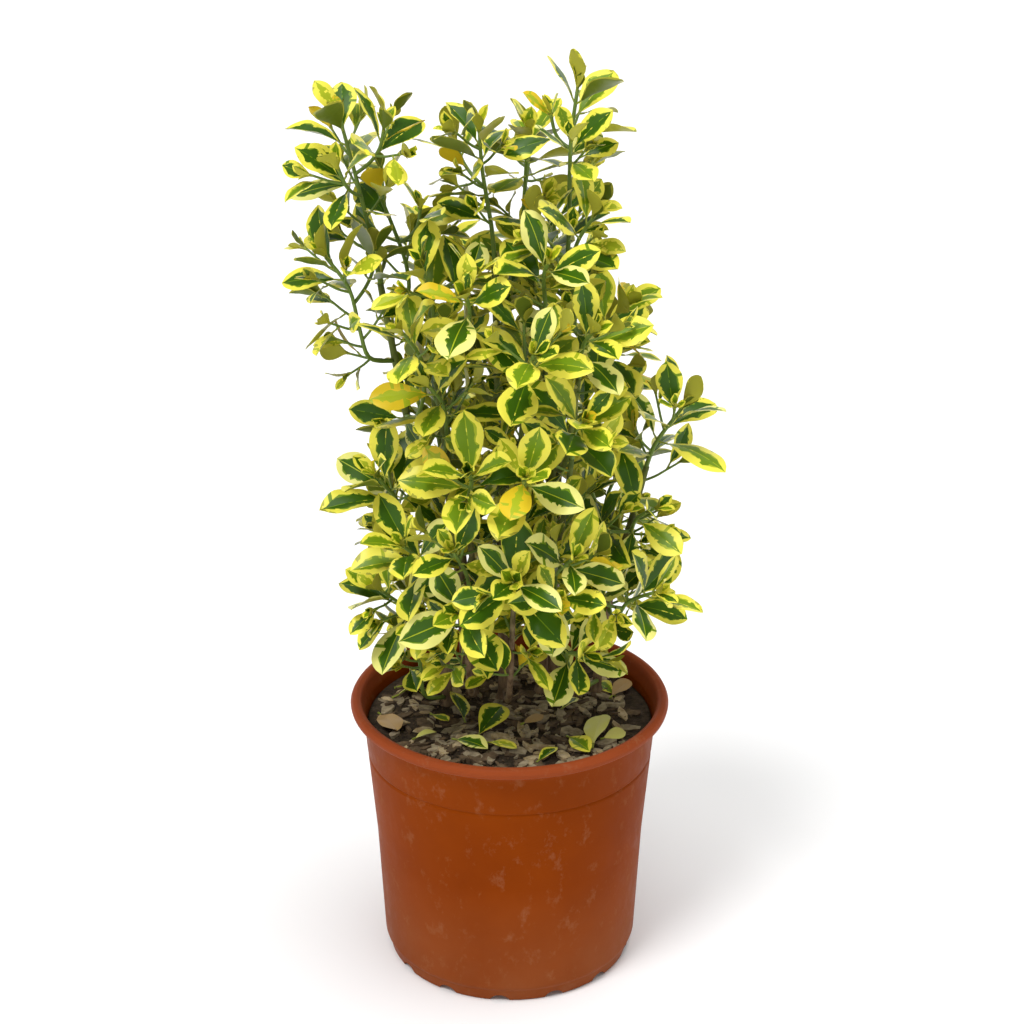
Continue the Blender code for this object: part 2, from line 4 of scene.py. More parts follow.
import bpy
import numpy as np
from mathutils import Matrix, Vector, noise
from mathutils.bvhtree import BVHTree


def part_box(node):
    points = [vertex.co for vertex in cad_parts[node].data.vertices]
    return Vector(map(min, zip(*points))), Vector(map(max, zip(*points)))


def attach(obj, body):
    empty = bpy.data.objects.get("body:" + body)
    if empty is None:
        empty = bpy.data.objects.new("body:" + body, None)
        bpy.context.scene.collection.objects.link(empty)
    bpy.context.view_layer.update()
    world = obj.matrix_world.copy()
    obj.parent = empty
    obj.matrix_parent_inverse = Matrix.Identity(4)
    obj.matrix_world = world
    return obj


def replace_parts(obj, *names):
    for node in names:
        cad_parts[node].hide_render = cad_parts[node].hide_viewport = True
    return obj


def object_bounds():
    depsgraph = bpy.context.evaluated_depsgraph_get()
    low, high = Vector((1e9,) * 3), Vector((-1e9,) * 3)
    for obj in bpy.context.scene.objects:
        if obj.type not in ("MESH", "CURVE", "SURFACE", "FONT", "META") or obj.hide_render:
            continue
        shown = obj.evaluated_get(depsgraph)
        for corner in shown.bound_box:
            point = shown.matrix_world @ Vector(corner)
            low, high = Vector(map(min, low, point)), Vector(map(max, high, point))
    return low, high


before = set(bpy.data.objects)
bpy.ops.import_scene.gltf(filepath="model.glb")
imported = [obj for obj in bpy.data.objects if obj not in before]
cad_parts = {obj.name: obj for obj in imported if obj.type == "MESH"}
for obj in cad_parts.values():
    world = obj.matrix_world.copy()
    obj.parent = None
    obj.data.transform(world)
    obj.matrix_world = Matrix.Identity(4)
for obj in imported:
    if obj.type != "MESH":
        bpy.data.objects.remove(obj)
FRAME_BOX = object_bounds()

# The growth rule and its numbers are those of the CAD, so the limbs, twigs and
# leaves of both stand in the same places.
MM = 0.001
GAP = 0.3 * MM  # clearance between pieces that touch
UP = Vector((0.0, 0.0, 1.0))

# Pot: radii and heights of its turned section
POT_SIDES = 40
POT_TOP = 230 * MM
LIP_RADIUS = 130 * MM
LIP_INNER = 120 * MM
LIP_DEPTH = 13 * MM
WALL = 2.2 * MM
NECK_RADIUS = 119.8 * MM  # outside of the wall, just under the lip
WAIST_RADIUS = 110.4 * MM  # where the flare of the upper wall begins
WAIST_HEIGHT = 110 * MM
HEEL_RADIUS = 105.5 * MM  # outside of the wall, at the bottom corner
HEEL_HEIGHT = 13 * MM
GROOVE_HEIGHT = 182 * MM
GROOVE_DEPTH = 1.2 * MM
GROOVE_HALF = 1.8 * MM
FLOOR_UNDER = 6.5 * MM
FLOOR_TOP = 9 * MM
PAD_RADIUS = 22 * MM  # round pad in the middle of the underside
FOOT_OUTER = 101 * MM
FOOT_INNER = 92 * MM
FOOT_COUNT = 14
FOOT_GAP_RADIUS = 9 * MM
FOOT_GAP_HEIGHT = 5.2 * MM
DRAIN_COUNT = 6
DRAIN_RADIUS = 5 * MM
DRAIN_RING = 66 * MM

# Soil
SOIL_TOP = 208 * MM
SOIL_FLAT = 94 * MM  # radius of the level part that the stems stand on
SOIL_DIP = 4 * MM  # how far the soil falls towards the wall

# Stems and boughs
STEM_SIDES = 8
BOUGH_SIDES = 6
BOUGH_RADIUS = 2.9 * MM
BOUGH_TIP = 2.0 * MM
FLARE = 0.55  # how much wider a stem is at the soil
FLARE_HEIGHT = 12 * MM
COLLAR = 2.5 * MM  # straight start of a shoot, square to the limb it leaves

# Foliage
TWIG_RADIUS = 2.0 * MM
TWIG_TIP = 1.4 * MM
LEAF_LENGTH = 52 * MM
LEAF_WIDTH = 0.66  # of its length
PAIR_STEP = (3, 8, 11, 13, 15)  # from the tip down, mm
PAIR_OPEN = (24, 44, 60, 74, 84)  # angle from the twig, degrees
PAIR_SIZE = (0.66, 0.88, 1.0, 1.05, 1.0)  # of the leaf's length
PAIR_TILT = 9  # chance difference of that angle, degrees
PAIR_TWIST = 12  # chance difference of a leaf's direction round the twig
LEAF_LIFT = 0.35  # how much a leaf turns its face up to the light
MAIN_RINGS = 6
SIDE_START = 44 * MM  # from the tip of the main twig to its first side twig
SIDE_STEP = 17 * MM
SIDE_REACH = 42 * MM
SIDE_PAIRS = 3
SIDE_SIZE = 0.88  # of a leaf on the main twig
CLEAR = 0.4 * MM  # room kept round each leaf and twig
OWN_MARGIN = 30 * MM  # how far a leaf may go past halfway to another mass
NEAR = 60 * MM  # leaves further apart than this cannot touch
SOIL_CLEAR = 6 * MM
SEED = 11

# Stems: foot on the soil, tip, radius at foot and tip, all in mm
STEMS = {
    "stem_left": ((-52, 22), (-98, 2, 578), 4.4, 2.4),
    "stem_centre": ((-4, 30), (-11, 4, 590), 5.6, 2.6),
    "stem_centre_left": ((-31, 38), (-56, -14, 505), 4.4, 2.4),
    "stem_centre_right": ((27, 44), (44, 5, 594), 4.6, 2.4),
    "stem_right": ((73, 40), (108, 10, 425), 4.0, 2.4),
    "stem_back_left": ((-38, 74), (-64, 60, 495), 4.2, 2.4),
    "stem_back_right": ((36, 78), (44, 74, 515), 4.4, 2.4),
}

# Boughs: the stem, the share of its length where the bough leaves, the bough's tip
BOUGHS = {
    "bough_upper_left": ("stem_centre", 0.80, (-29, -46, 545)),
    "bough_upper_right": ("stem_centre_right", 0.78, (27, -40, 568)),
    "bough_upper_front": ("stem_centre", 0.64, (12, -62, 508)),
    "bough_right_front": ("stem_centre_right", 0.66, (52, -50, 520)),
    "bough_middle_right": ("stem_centre_right", 0.50, (47, -66, 462)),
    "bough_middle_front": ("stem_centre", 0.46, (10, -78, 432)),
    "bough_middle_left": ("stem_centre_left", 0.54, (-30, -60, 424)),
    "bough_outer_left": ("stem_left", 0.44, (-86, -24, 402)),
    "bough_low_front": ("stem_centre", 0.24, (3, -76, 342)),
    "bough_low_left": ("stem_centre_left", 0.26, (-34, -68, 322)),
}

# Masses: the limb, the share of its length, the heart of the rosette in mm,
# the rise of the shoot there in degrees, pairs of leaves, side shoots
MASSES = {
    "leaves_arm_top": ("stem_left", 1.0, (-125, 0, 706), 76, 5, 2),
    "leaves_arm_inner": ("stem_left", 0.95, (-98, 6, 648), 70, 4, 1),
    "leaves_arm_outer": ("stem_left", 0.88, (-136, -30, 608), 36, 4, 1),
    "leaves_shoulder_left": ("stem_centre_left", 1.0, (-64, -46, 604), 66, 5, 1),
    "leaves_left_high": ("stem_left", 0.78, (-78, -64, 560), 38, 4, 1),
    "leaves_upper_left": ("bough_upper_left", 1.0, (-31, -78, 592), 48, 4, 1),
    "leaves_left_inner": ("stem_centre_left", 0.86, (-60, -56, 516), 30, 4, 0),
    "leaves_top_left": ("stem_centre", 1.0, (-22, -4, 696), 80, 5, 1),
    "leaves_top_right": ("stem_centre_right", 1.0, (50, 2, 726), 80, 5, 2),
    "leaves_top_middle": ("stem_centre_right", 0.95, (14, 14, 690), 72, 4, 1),
    "leaves_side_right": ("stem_centre_right", 0.90, (62, -34, 640), 34, 4, 1),
    "leaves_upper_right": ("bough_upper_right", 1.0, (28, -72, 616), 44, 4, 1),
    "leaves_shoulder_right": ("stem_centre_right", 0.84, (86, -22, 566), 30, 4, 1),
    "leaves_upper_front": ("bough_upper_front", 1.0, (18, -100, 556), 36, 4, 1),
    "leaves_right_front": ("bough_right_front", 1.0, (60, -82, 566), 42, 4, 1),
    "leaves_middle_right": ("bough_middle_right", 1.0, (54, -102, 505), 34, 4, 1),
    "leaves_middle_front": ("bough_middle_front", 1.0, (12, -114, 466), 34, 4, 1),
    "leaves_middle_left": ("bough_middle_left", 1.0, (-30, -96, 462), 42, 4, 1),
    "leaves_outer_left": ("bough_outer_left", 1.0, (-100, -50, 440), 60, 4, 1),
    "leaves_lower_left": ("stem_left", 0.34, (-80, -76, 394), 24, 4, 1),
    "leaves_front_left": ("stem_centre_left", 0.44, (-42, -104, 402), 36, 4, 0),
    "leaves_front": ("bough_low_front", 1.0, (4, -114, 382), 34, 4, 1),
    "leaves_front_right": ("stem_centre_right", 0.36, (48, -94, 392), 26, 4, 1),
    "leaves_low_left": ("bough_low_left", 1.0, (-38, -106, 352), 20, 4, 1),
    "leaves_low_outer": ("stem_left", 0.20, (-100, -52, 346), 20, 4, 0),
    "leaves_low_right": ("stem_right", 0.50, (112, -60, 348), 16, 4, 1),
    "leaves_low_front": ("stem_right", 0.26, (58, -54, 292), -4, 4, 0),
    "leaves_right_tip": ("stem_right", 1.0, (134, 0, 478), 56, 5, 1),
    "leaves_right_low": ("stem_right", 0.80, (112, -44, 412), 20, 4, 1),
    "leaves_back_top_left": ("stem_back_left", 1.0, (-60, 58, 600), 68, 5, 1),
    "leaves_back_top_right": ("stem_back_right", 1.0, (36, 62, 622), 70, 5, 1),
    "leaves_back_left": ("stem_back_left", 0.84, (-74, 92, 522), 36, 4, 1),
    "leaves_back_middle": ("stem_back_left", 0.90, (-6, 98, 556), 42, 4, 1),
    "leaves_back_right": ("stem_back_right", 0.84, (92, 62, 532), 38, 4, 1),
    "leaves_back_lower_left": ("stem_back_left", 0.62, (-58, 110, 446), 32, 4, 1),
    "leaves_back_lower_right": ("stem_back_right", 0.62, (16, 122, 456), 34, 4, 1),
    "leaves_back_outer_right": ("stem_back_right", 0.46, (96, 78, 404), 28, 4, 1),
    "leaves_back_low_left": ("stem_back_left", 0.34, (-98, 62, 372), 22, 4, 1),
    "leaves_back_low": ("stem_back_right", 0.26, (6, 118, 346), 18, 4, 1),
}


def around(side, other, turn):
    """The direction at an angle from one cross direction towards the other."""
    return side * math.cos(turn) + other * math.sin(turn)


def prism(count):
    """Faces of a solid whose verts are two rings of this many."""
    walls = [(i, (i + 1) % count, count + (i + 1) % count, count + i) for i in range(count)]
    return [tuple(reversed(range(count))), tuple(range(count, 2 * count))] + walls


def turned(profile, sides):
    """Verts and faces of a turned solid whose profile runs from axis to axis."""
    verts = []
    rings = []
    for radius, height in profile:
        if radius == 0.0:
            rings.append([len(verts)])
            verts.append(Vector((0.0, 0.0, height)))
            continue
        rings.append(list(range(len(verts), len(verts) + sides)))
        for i in range(sides):
            turn = 2 * math.pi * i / sides
            verts.append(Vector((radius * math.cos(turn), radius * math.sin(turn), height)))
    faces = []
    for low, high in zip(rings, rings[1:]):
        for i in range(sides):
            j = (i + 1) % sides
            if len(low) == 1:
                faces.append((low[0], high[j], high[i]))
            elif len(high) == 1:
                faces.append((low[i], low[j], high[0]))
            else:
                faces.append((low[i], low[j], high[j], high[i]))
    return verts, faces


def wall_radius(height):
    """Outside radius of the pot's wall, whose upper part flares more."""
    if height < WAIST_HEIGHT:
        share = (height - HEEL_HEIGHT) / (WAIST_HEIGHT - HEEL_HEIGHT)
        return HEEL_RADIUS + share * (WAIST_RADIUS - HEEL_RADIUS)
    share = (height - WAIST_HEIGHT) / (POT_TOP - LIP_DEPTH - WAIST_HEIGHT)
    return WAIST_RADIUS + share * (NECK_RADIUS - WAIST_RADIUS)


def pot_profile():
    neck = POT_TOP - LIP_DEPTH
    groove = wall_radius(GROOVE_HEIGHT) - GROOVE_DEPTH
    lip_mid = (LIP_RADIUS + LIP_INNER) / 2
    lip_half = (LIP_RADIUS - LIP_INNER) / 2
    underside = [
        (0.0, 0.0),
        (PAD_RADIUS, 0.0),
        (PAD_RADIUS + 3 * MM, FLOOR_UNDER),
        (FOOT_INNER - 2 * MM, FLOOR_UNDER),
        (FOOT_INNER, 0.0),
        (FOOT_OUTER, 0.0),
        (FOOT_OUTER + 2 * MM, HEEL_HEIGHT - 3 * MM),
        (HEEL_RADIUS - 0.6 * MM, HEEL_HEIGHT - 0.5 * MM),
        (HEEL_RADIUS, HEEL_HEIGHT + 1.5 * MM),
    ]
    outside = [
        (WAIST_RADIUS, WAIST_HEIGHT),
        (wall_radius(GROOVE_HEIGHT - GROOVE_HALF), GROOVE_HEIGHT - GROOVE_HALF),
        (groove, GROOVE_HEIGHT),
        (wall_radius(GROOVE_HEIGHT + GROOVE_HALF), GROOVE_HEIGHT + GROOVE_HALF),
        (NECK_RADIUS, neck),
        (NECK_RADIUS + 5 * MM, neck + 2 * MM),
    ]
    # The lip is rolled: its outer half is an arc from under its edge to its inner side
    rolled = []
    for step in range(6):
        turn = math.radians(-35 + 42 * step)
        rolled.append((
            lip_mid + lip_half * math.cos(turn),
            POT_TOP - lip_half * (1.0 - math.sin(turn)),
        ))
    inside = [
        (wall_radius(neck) - WALL, neck - 2 * MM),
        (WAIST_RADIUS - WALL, WAIST_HEIGHT),
        (HEEL_RADIUS - WALL, HEEL_HEIGHT + 3 * MM),
        (HEEL_RADIUS - WALL - 5 * MM, FLOOR_TOP),
        (0.0, FLOOR_TOP),
    ]
    return underside + outside + rolled + inside


def curve(start, start_way, end, end_way, count, straight=0.0):
    """Points along a cubic curve that leaves and arrives in the given directions."""
    foot = [start] if straight else []
    start = start + start_way.normalized() * straight
    reach = (end - start).length * 0.38
    near = start + start_way.normalized() * reach
    far = end - end_way.normalized() * reach
    points = foot
    count -= len(foot)
    for i in range(count):
        t = i / (count - 1)
        s = 1.0 - t
        points.append(start * s**3 + near * 3 * s * s * t + far * 3 * s * t * t + end * t**3)
    return points


def frames(points):
    """Direction and two cross directions at each point, carried on without twist."""
    ways = []
    for i in range(len(points)):
        before = points[max(i - 1, 0)]
        after = points[min(i + 1, len(points) - 1)]
        ways.append((after - before).normalized())
    side = ways[0].cross(Vector((0.31, 0.87, 0.37))).normalized()
    result = []
    for way in ways:
        side = (side - way * side.dot(way)).normalized()
        result.append((way, side, way.cross(side)))
    return result


def tube(points, radii, sides):
    verts = []
    faces = []
    for point, radius, (_, side, other) in zip(points, radii, frames(points)):
        for i in range(sides):
            turn = 2 * math.pi * i / sides
            verts.append(point + around(side, other, turn) * radius)
    for ring in range(len(points) - 1):
        for i in range(sides):
            j = (i + 1) % sides
            a = ring * sides
            faces.append((a + i, a + j, a + sides + j, a + sides + i))
    faces.append(tuple(reversed(range(sides))))
    last = (len(points) - 1) * sides
    faces.append(tuple(range(last, last + sides)))
    return verts, faces


def taper(thick, thin, count):
    return [thick + (thin - thick) * i / (count - 1) for i in range(count)]


class Limb:
    """A stem or bough: a curve with a radius at each point."""

    def __init__(self, points, radii):
        self.points = points
        self.radii = radii

    def at(self, share):
        """Place, direction and radius at a share of the length."""
        spot = share * (len(self.points) - 1)
        i = min(int(spot), len(self.points) - 2)
        part = spot - i
        point = self.points[i].lerp(self.points[i + 1], part)
        way = (self.points[i + 1] - self.points[i]).normalized()
        radius = self.radii[i] * (1 - part) + self.radii[i + 1] * part
        return point, way, radius


def grow_stem(name):
    foot, tip, foot_radius, tip_radius = STEMS[name]
    start = Vector((foot[0] * MM, foot[1] * MM, SOIL_TOP + GAP))
    end = Vector(tip) * MM
    lean = Vector((end.x - start.x, end.y - start.y, 0.0)) / (end.z - start.z)
    # A stem rises straight off the soil, so its foot is cut level
    first = [start, start + UP * FLARE_HEIGHT * 0.35, start + UP * FLARE_HEIGHT]
    rest = curve(first[-1], UP + lean * 0.3, end, UP + lean * 1.2, 7)
    points = first + rest[1:]
    radii = []
    for point in points:
        share = (point.z - start.z) / (end.z - start.z)
        radius = foot_radius + (tip_radius - foot_radius) * share
        rise = (point.z - start.z) / FLARE_HEIGHT
        radii.append(MM * radius * (1 + FLARE * max(0.0, 1 - rise) ** 2))
    return Limb(points, radii)


def seat(limb, share, target):
    """Where a shoot that leaves a limb starts, and its direction there."""
    point, way, radius = limb.at(share)
    if share == 1.0:
        way = (limb.points[-1] - limb.points[-2]).normalized()
        return point + way * GAP, way
    out = target - point
    out = (out - way * out.dot(way)).normalized()
    return point + out * (radius + GAP), out


def grow_bough(name, limbs):
    stem, share, tip = BOUGHS[name]
    end = Vector(tip) * MM
    start, way = seat(limbs[stem], share, end)
    out = (end - start).normalized()
    points = curve(start, way, end, out + UP * 0.5, 7, COLLAR)
    return Limb(points, taper(BOUGH_RADIUS, BOUGH_TIP, len(points)))


class Leaf:
    """One leaf: root, direction of the midrib, side, upper face and length."""

    def __init__(self, root, way, side, length):
        self.root = root
        self.way = way
        self.side = side
        self.face = side.cross(way)
        self.length = length

    def spot(self, along, across, lift):
        return (self.root + self.way * along * self.length
                + self.side * across * self.length + self.face * lift * self.length)

    def feeler(self):
        """A thicker plate of the leaf's outline, used to test that it is clear."""
        half = LEAF_WIDTH * 0.57
        outline = (
            (0.07, -0.07), (0.34, -half * 0.74), (0.57, -half), (0.82, -half * 0.64),
            (1.02, 0.0), (0.82, half * 0.64), (0.57, half), (0.34, half * 0.74), (0.07, 0.07),
        )
        verts = []
        for lift in (-1, 1):
            for along, across in outline:
                bend = 0.02 - 0.12 * max(0.0, along - 0.5) + 0.08 * abs(across)
                place = self.spot(along, across, bend)
                verts.append(place + self.face * lift * (CLEAR + 0.3 * MM))
        return BVHTree.FromPolygons(verts, prism(len(outline)))


class Shoot:
    """A twig with pairs of leaves crosswise along it, closest at its tip."""

    def __init__(self, points, radii, pairs, turn, size):
        self.points = points
        self.radii = radii
        self.frames = frames(points)
        self.pairs = pairs
        self.turn = turn
        self.size = size
        self.length = sum((b - a).length for a, b in zip(points, points[1:]))

    def at(self, from_tip):
        """Place, direction and two cross directions at a distance from the tip."""
        left = max(self.length - from_tip, 0.0)
        for i in range(len(self.points) - 1):
            step = (self.points[i + 1] - self.points[i]).length
            if left <= step or i == len(self.points) - 2:
                point = self.points[i].lerp(self.points[i + 1], min(left / step, 1.0))
                way = (self.points[i + 1] - self.points[i]).normalized()
                side = self.frames[i][1]
                side = (side - way * side.dot(way)).normalized()
                return point, way, side, way.cross(side)
            left -= step

    def leaf(self, pair, which, bend, twist, scale):
        """Leaf of a pair, counted from the tip; it turns its face to the light."""
        from_tip = sum(PAIR_STEP[:pair + 1]) * MM
        if from_tip > self.length - 6 * MM:
            return None
        point, way, side, other = self.at(from_tip)
        turn = self.turn + pair * math.pi / 2 + which * math.pi + twist
        out = around(side, other, turn)
        opened = math.radians(PAIR_OPEN[pair] + bend)
        rib = around(way, out, opened)
        face = way * math.sin(opened) - out * math.cos(opened) + UP * LEAF_LIFT
        face = (face - rib * face.dot(rib)).normalized()
        length = LEAF_LENGTH * PAIR_SIZE[pair] * self.size * scale
        return Leaf(point, rib, rib.cross(face), length)


class Mass:
    """The shoots and leaves of one node."""

    def __init__(self, name):
        self.name = name
        self.random = random.Random(SEED * 1000 + list(MASSES).index(name))
        self.shoots = []
        self.leaves = []


def shoot_tube(points, radii, extra):
    return BVHTree.FromPolygons(*tube(points, [r + extra for r in radii], 6))


def is_clear(feeler, obstacles):
    return not any(feeler.overlap(other) for other in obstacles)


def route(start, way, end, end_way, radii, obstacles):
    """A curve for a twig that bends aside where the plain one would touch something."""
    side = end_way.orthogonal().normalized()
    other = end_way.cross(side)
    for lean in (0.0, 0.3, 0.6, 1.0, 1.5):
        for step in range(10 if lean else 1):
            turn = step * math.pi / 5
            aside = around(side, other, turn) * lean
            points = curve(start, way, end, end_way + aside, len(radii), COLLAR)
            if is_clear(shoot_tube(points[1:], radii[1:], CLEAR), obstacles):
                return points
    raise RuntimeError("a twig finds no clear way")


def grow_mass(name, limbs, obstacles):
    """The main twig of a mass from its limb to its heart, and its side twigs."""
    limb, share, heart, rise, pairs, sides = MASSES[name]
    mass = Mass(name)
    end = Vector(heart) * MM
    start, way = seat(limbs[limb], share, end)
    level = Vector((end.x, end.y, 0.0))
    level = level.normalized() if level.length > 25 * MM else Vector((0.0, -1.0, 0.0))
    pitch = math.radians(rise)
    end_way = around(level, UP, pitch)
    radii = taper(TWIG_RADIUS, TWIG_TIP, MAIN_RINGS)
    points = route(start, way, end, end_way, radii, obstacles)
    main_twig = Shoot(points, radii, pairs, mass.random.uniform(0, math.pi), 1.0)
    mass.shoots.append(main_twig)
    for i in range(sides):
        from_tip = SIDE_START + i * SIDE_STEP
        if from_tip < main_twig.length - SIDE_STEP:
            twig = grow_side_twig(main_twig, from_tip, mass.random.uniform(0, math.pi), obstacles)
            if twig is not None:
                mass.shoots.append(twig)
    return mass


def grow_side_twig(main_twig, from_tip, turn, obstacles):
    """A side twig that leaves the main one where the other masses leave most room."""
    point, way, side, other = main_twig.at(from_tip)

    def outward(step):
        return around(side, other, main_twig.turn + step * math.pi / 6)

    def room(step):
        away = point + (way * 0.58 + outward(step) * 0.82) * SIDE_REACH
        return min((away - Vector(spec[2]) * MM).length for spec in MASSES.values())

    out = outward(max(range(12), key=room))
    tip = point + (way * 0.62 + out * 0.72 + UP * 0.1) * SIDE_REACH
    radii = taper(TWIG_TIP * 1.05, TWIG_TIP * 0.95, 4)
    path = curve(point, out + way * 0.4, tip, way + out * 0.3 + UP * 0.3, 4)
    free = [path[0].lerp(path[1], 0.7)] + path[1:]
    if not is_clear(shoot_tube(free, radii, CLEAR), obstacles):
        return None
    return Shoot(path, radii, SIDE_PAIRS, turn, SIDE_SIZE)


def in_own_space(leaf, mass, hearts):
    middle = leaf.spot(0.6, 0.0, 0.0)
    own = (middle - hearts[mass.name]).length
    return all(own < (middle - place).length + OWN_MARGIN for place in hearts.values())


def grow_leaves(masses, fixed):
    """Pairs from the tips down, mass by mass, each leaf only where it is clear."""
    hearts = {name: Vector(spec[2]) * MM for name, spec in MASSES.items()}
    placed = []
    for pair in range(len(PAIR_STEP)):
        for mass in masses:
            for shoot in mass.shoots:
                if pair >= shoot.pairs:
                    continue
                for which in range(2):
                    leaf = fit_leaf(mass, shoot, pair, which, hearts, placed, fixed)
                    if leaf is None:
                        continue
                    mass.leaves.append(leaf)
                    placed.append((leaf.spot(0.5, 0, 0), leaf.feeler()))


def fit_leaf(mass, shoot, pair, which, hearts, placed, fixed):
    """The leaf at its natural angle, or turned or smaller where that is not clear."""
    tilt = mass.random.uniform(-PAIR_TILT, PAIR_TILT)
    twist = math.radians(mass.random.uniform(-PAIR_TWIST, PAIR_TWIST))
    size = mass.random.uniform(0.88, 1.12)
    others = [tree for owner, tree in fixed if owner is not shoot]
    for scale in (1.0, 0.85, 0.72):
        for turn in (0, 0.3, -0.3, 0.6, -0.6):
            for bend in (0, 14, -14):
                leaf = shoot.leaf(pair, which, tilt + bend, twist + turn, size * scale)
                if leaf is None:
                    return None
                if leaf.spot(1, 0, 0).z < SOIL_TOP + SOIL_CLEAR:
                    continue
                if not in_own_space(leaf, mass, hearts):
                    continue
                middle = leaf.spot(0.5, 0, 0)
                near = [tree for place, tree in placed if (place - middle).length < NEAR]
                if is_clear(leaf.feeler(), near + others):
                    return leaf
    return None


# Camera, from the photograph
IMAGE_PIXELS = 1024
FOCAL_PIXELS = 2277.2
SENSOR_WIDTH = 36.0  # mm
CAMERA_PITCH = math.radians(23.02)
CAMERA_DISTANCE = 1.8
LOOK_AT = Vector((0.002, 0.0, 0.3902))
CAMERA_WAY = Vector((0.0, math.cos(CAMERA_PITCH), -math.sin(CAMERA_PITCH)))
CAMERA_UP = Vector((0.0, math.sin(CAMERA_PITCH), math.cos(CAMERA_PITCH)))
CAMERA_PLACE = LOOK_AT - CAMERA_WAY * CAMERA_DISTANCE

# Openings in the crown that show sky: place in the picture and radius, pixels
OPENINGS = (
    (420, 176, 12), (300, 212, 11), (640, 232, 8), (637, 480, 6), (669, 344, 13),
    (676, 636, 12), (539, 86, 10), (344, 299, 10), (661, 484, 9), (623, 165, 8), (379, 360, 8),
)

# Stems, boughs and twigs as they show
BARK_STEPS = 9  # rings for each one of the CAD
BARK_SIDES = 14
BARK_RELIEF = 0.11  # of the radius
RIDGES = 55  # how fast the relief changes, along a metre
RIDGE_ROUND = 2.2  # and round the limb
KNOTS = 32  # the same for its knots, along a metre
TWIG_STEPS = 4
TWIG_ROUND = 8  # sides

# Leaves as they show
VISUAL_SIZE = 1.02  # of the leaf in the CAD
PETIOLE = 0.13  # share of a leaf's length
STALK_RADII = (0.95 * MM, 0.8 * MM, 0.75 * MM)
STALK_SIDES = 6
STATIONS = 19  # along a leaf; a small one has fewer
SMALL_STATIONS = 11
SMALL_LEAF = 27 * MM
SHAPE_ALONG = (0, .05, .12, .22, .34, .46, .58, .7, .8, .88, .94, .975, 1.0)
SHAPE_HALF = (.012, .032, .072, .136, .194, .236, .258, .252, .218, .166, .108, .062, .008)
ROLL = 0.42  # most that a leaf turns about its midrib, radians
# Ranges of what sheet reads: width, fold, curl, arch, droop, wave, phase, twist
FORM = ((0.82, 1.02), (0.05, 0.42), (0.0, 0.9), (0.06, 0.16),
        (0.0, 0.16), (0.004, 0.016), (0.0, 1.0), (-0.12, 0.12))
WAVES = 2.1  # along a leaf's edge
UNDER_DEPTHS = np.array((0.0, 1.0, 1.6, 1.0, 0.0)) * 0.28 * MM  # underside, edge to edge

# The green of a leaf, in shares of its half width: a dark core with a patch on each side
RIB = 0.03
CORE_MOST = 0.90
CORE_SPREAD = 0.10  # chance difference of the core's width
CORE_END = (0.90, 0.99)  # where it ends, along the leaf
CORE_TAPER = 0.24  # over what length it narrows
PATCH_LEAST = 0.05
PATCH_MOST = 0.96
JAG = 0.12  # unevenness of the edges of core and patch
JAG_CARRIED = 0.45  # share of it that goes on to the next station
PATCH_AS_CORE = 0.22  # a draw below this gives a patch the core's colour
PATCH_AS_MARGIN = 0.34  # a draw between the two gives it the margin's
MARGIN_AS_PATCH = 0.035

# Finer twigs
LEAF_LIMIT = 1500
FINE_START = 14 * MM  # from the tip of the limb or twig that they leave
FINE_STEP = (7, 13)  # from one to the next, mm
FINE_END = 0.92  # of its length
FINE_LOWEST = 50 * MM  # above the soil
FINE_TRIES = 4  # directions round it
FINE_REACH = (22 * MM, 34 * MM)
FINE_SIZE = (0.62, 0.86)
FINE_RADIUS = 1.0 * MM
FINE_POINTS = 4
FINE_PAIRS = 3
FINE_BEND = 10  # degrees
FINE_TWIST = 0.25  # radians
FINE_SCALE = (0.9, 1.1)
BOX_SLACK = 4 * MM  # how far a leaf may stand out of the masses' boxes

# Tufts of young leaves at the tips of the twigs
TUFT_LEAVES = 3
TUFT_SIZE = (0.30, 0.48)
TUFT_OPEN = (8, 26)  # degrees from the twig
TUFT_TURN = (0.8, 2.1)  # of the first leaf, and from one to the next, radians
TUFT_SUNK = 1.5  # mm
TOP_SLACK = 6 * MM  # how far it may stand above the box of the CAD

# Soil, chips and fallen leaves as they show
SOIL_SIDES = 180
SOIL_RINGS = 62
SOIL_EDGE = 116 * MM  # radius where the soil has fallen all the way
# Roughness of the soil: height, how fast it changes along a metre, layer of the noise
SOIL_NOISE = ((2.6 * MM, 34, 3.0), (1.5 * MM, 110, 7.0), (0.8 * MM, 320, 1.0))
MOUND_HEIGHT = 1.6 * MM  # level soil round each stem
MOUND_RADIUS = 9 * MM
CHIP_CORNERS = 7
CHIP_REACH = 112 * MM  # radius of the chips' middles
CHIP_LIMIT = 115 * MM  # radius of their ends
CHIP_LENGTH = (6, 25)  # mm
CHIP_WIDTH = (0.25, 0.55)  # of the length
CHIP_THICK = (1.2, 3.5)  # mm
CRUMBS = 1500
CRUMB_REACH = 114 * MM
CRUMB_SIZE = (0.8, 2.6)  # mm
FALLEN_LIFT = 3.6 * MM  # of a fallen leaf's root over the soil

# Pot, bark and floor as they show
LIP_SHEEN_SPAN = (0.214, 0.219)  # heights between which painted sheen makes the pot's lip paler and pinker
SMEAR_TOP = 0.11  # height that the smears reach
GREEN_BARK = (0.30, 0.42)  # heights between which bark turns green
FLOOR_REACH = 30
FLOOR_DROP = 0.5 * MM  # keeps the floor off the underside of the pot
POT_ROUND_SIDES = 160
EDGE_ROUNDING = 0.8 * MM
SHARP_ANGLE = math.radians(32)

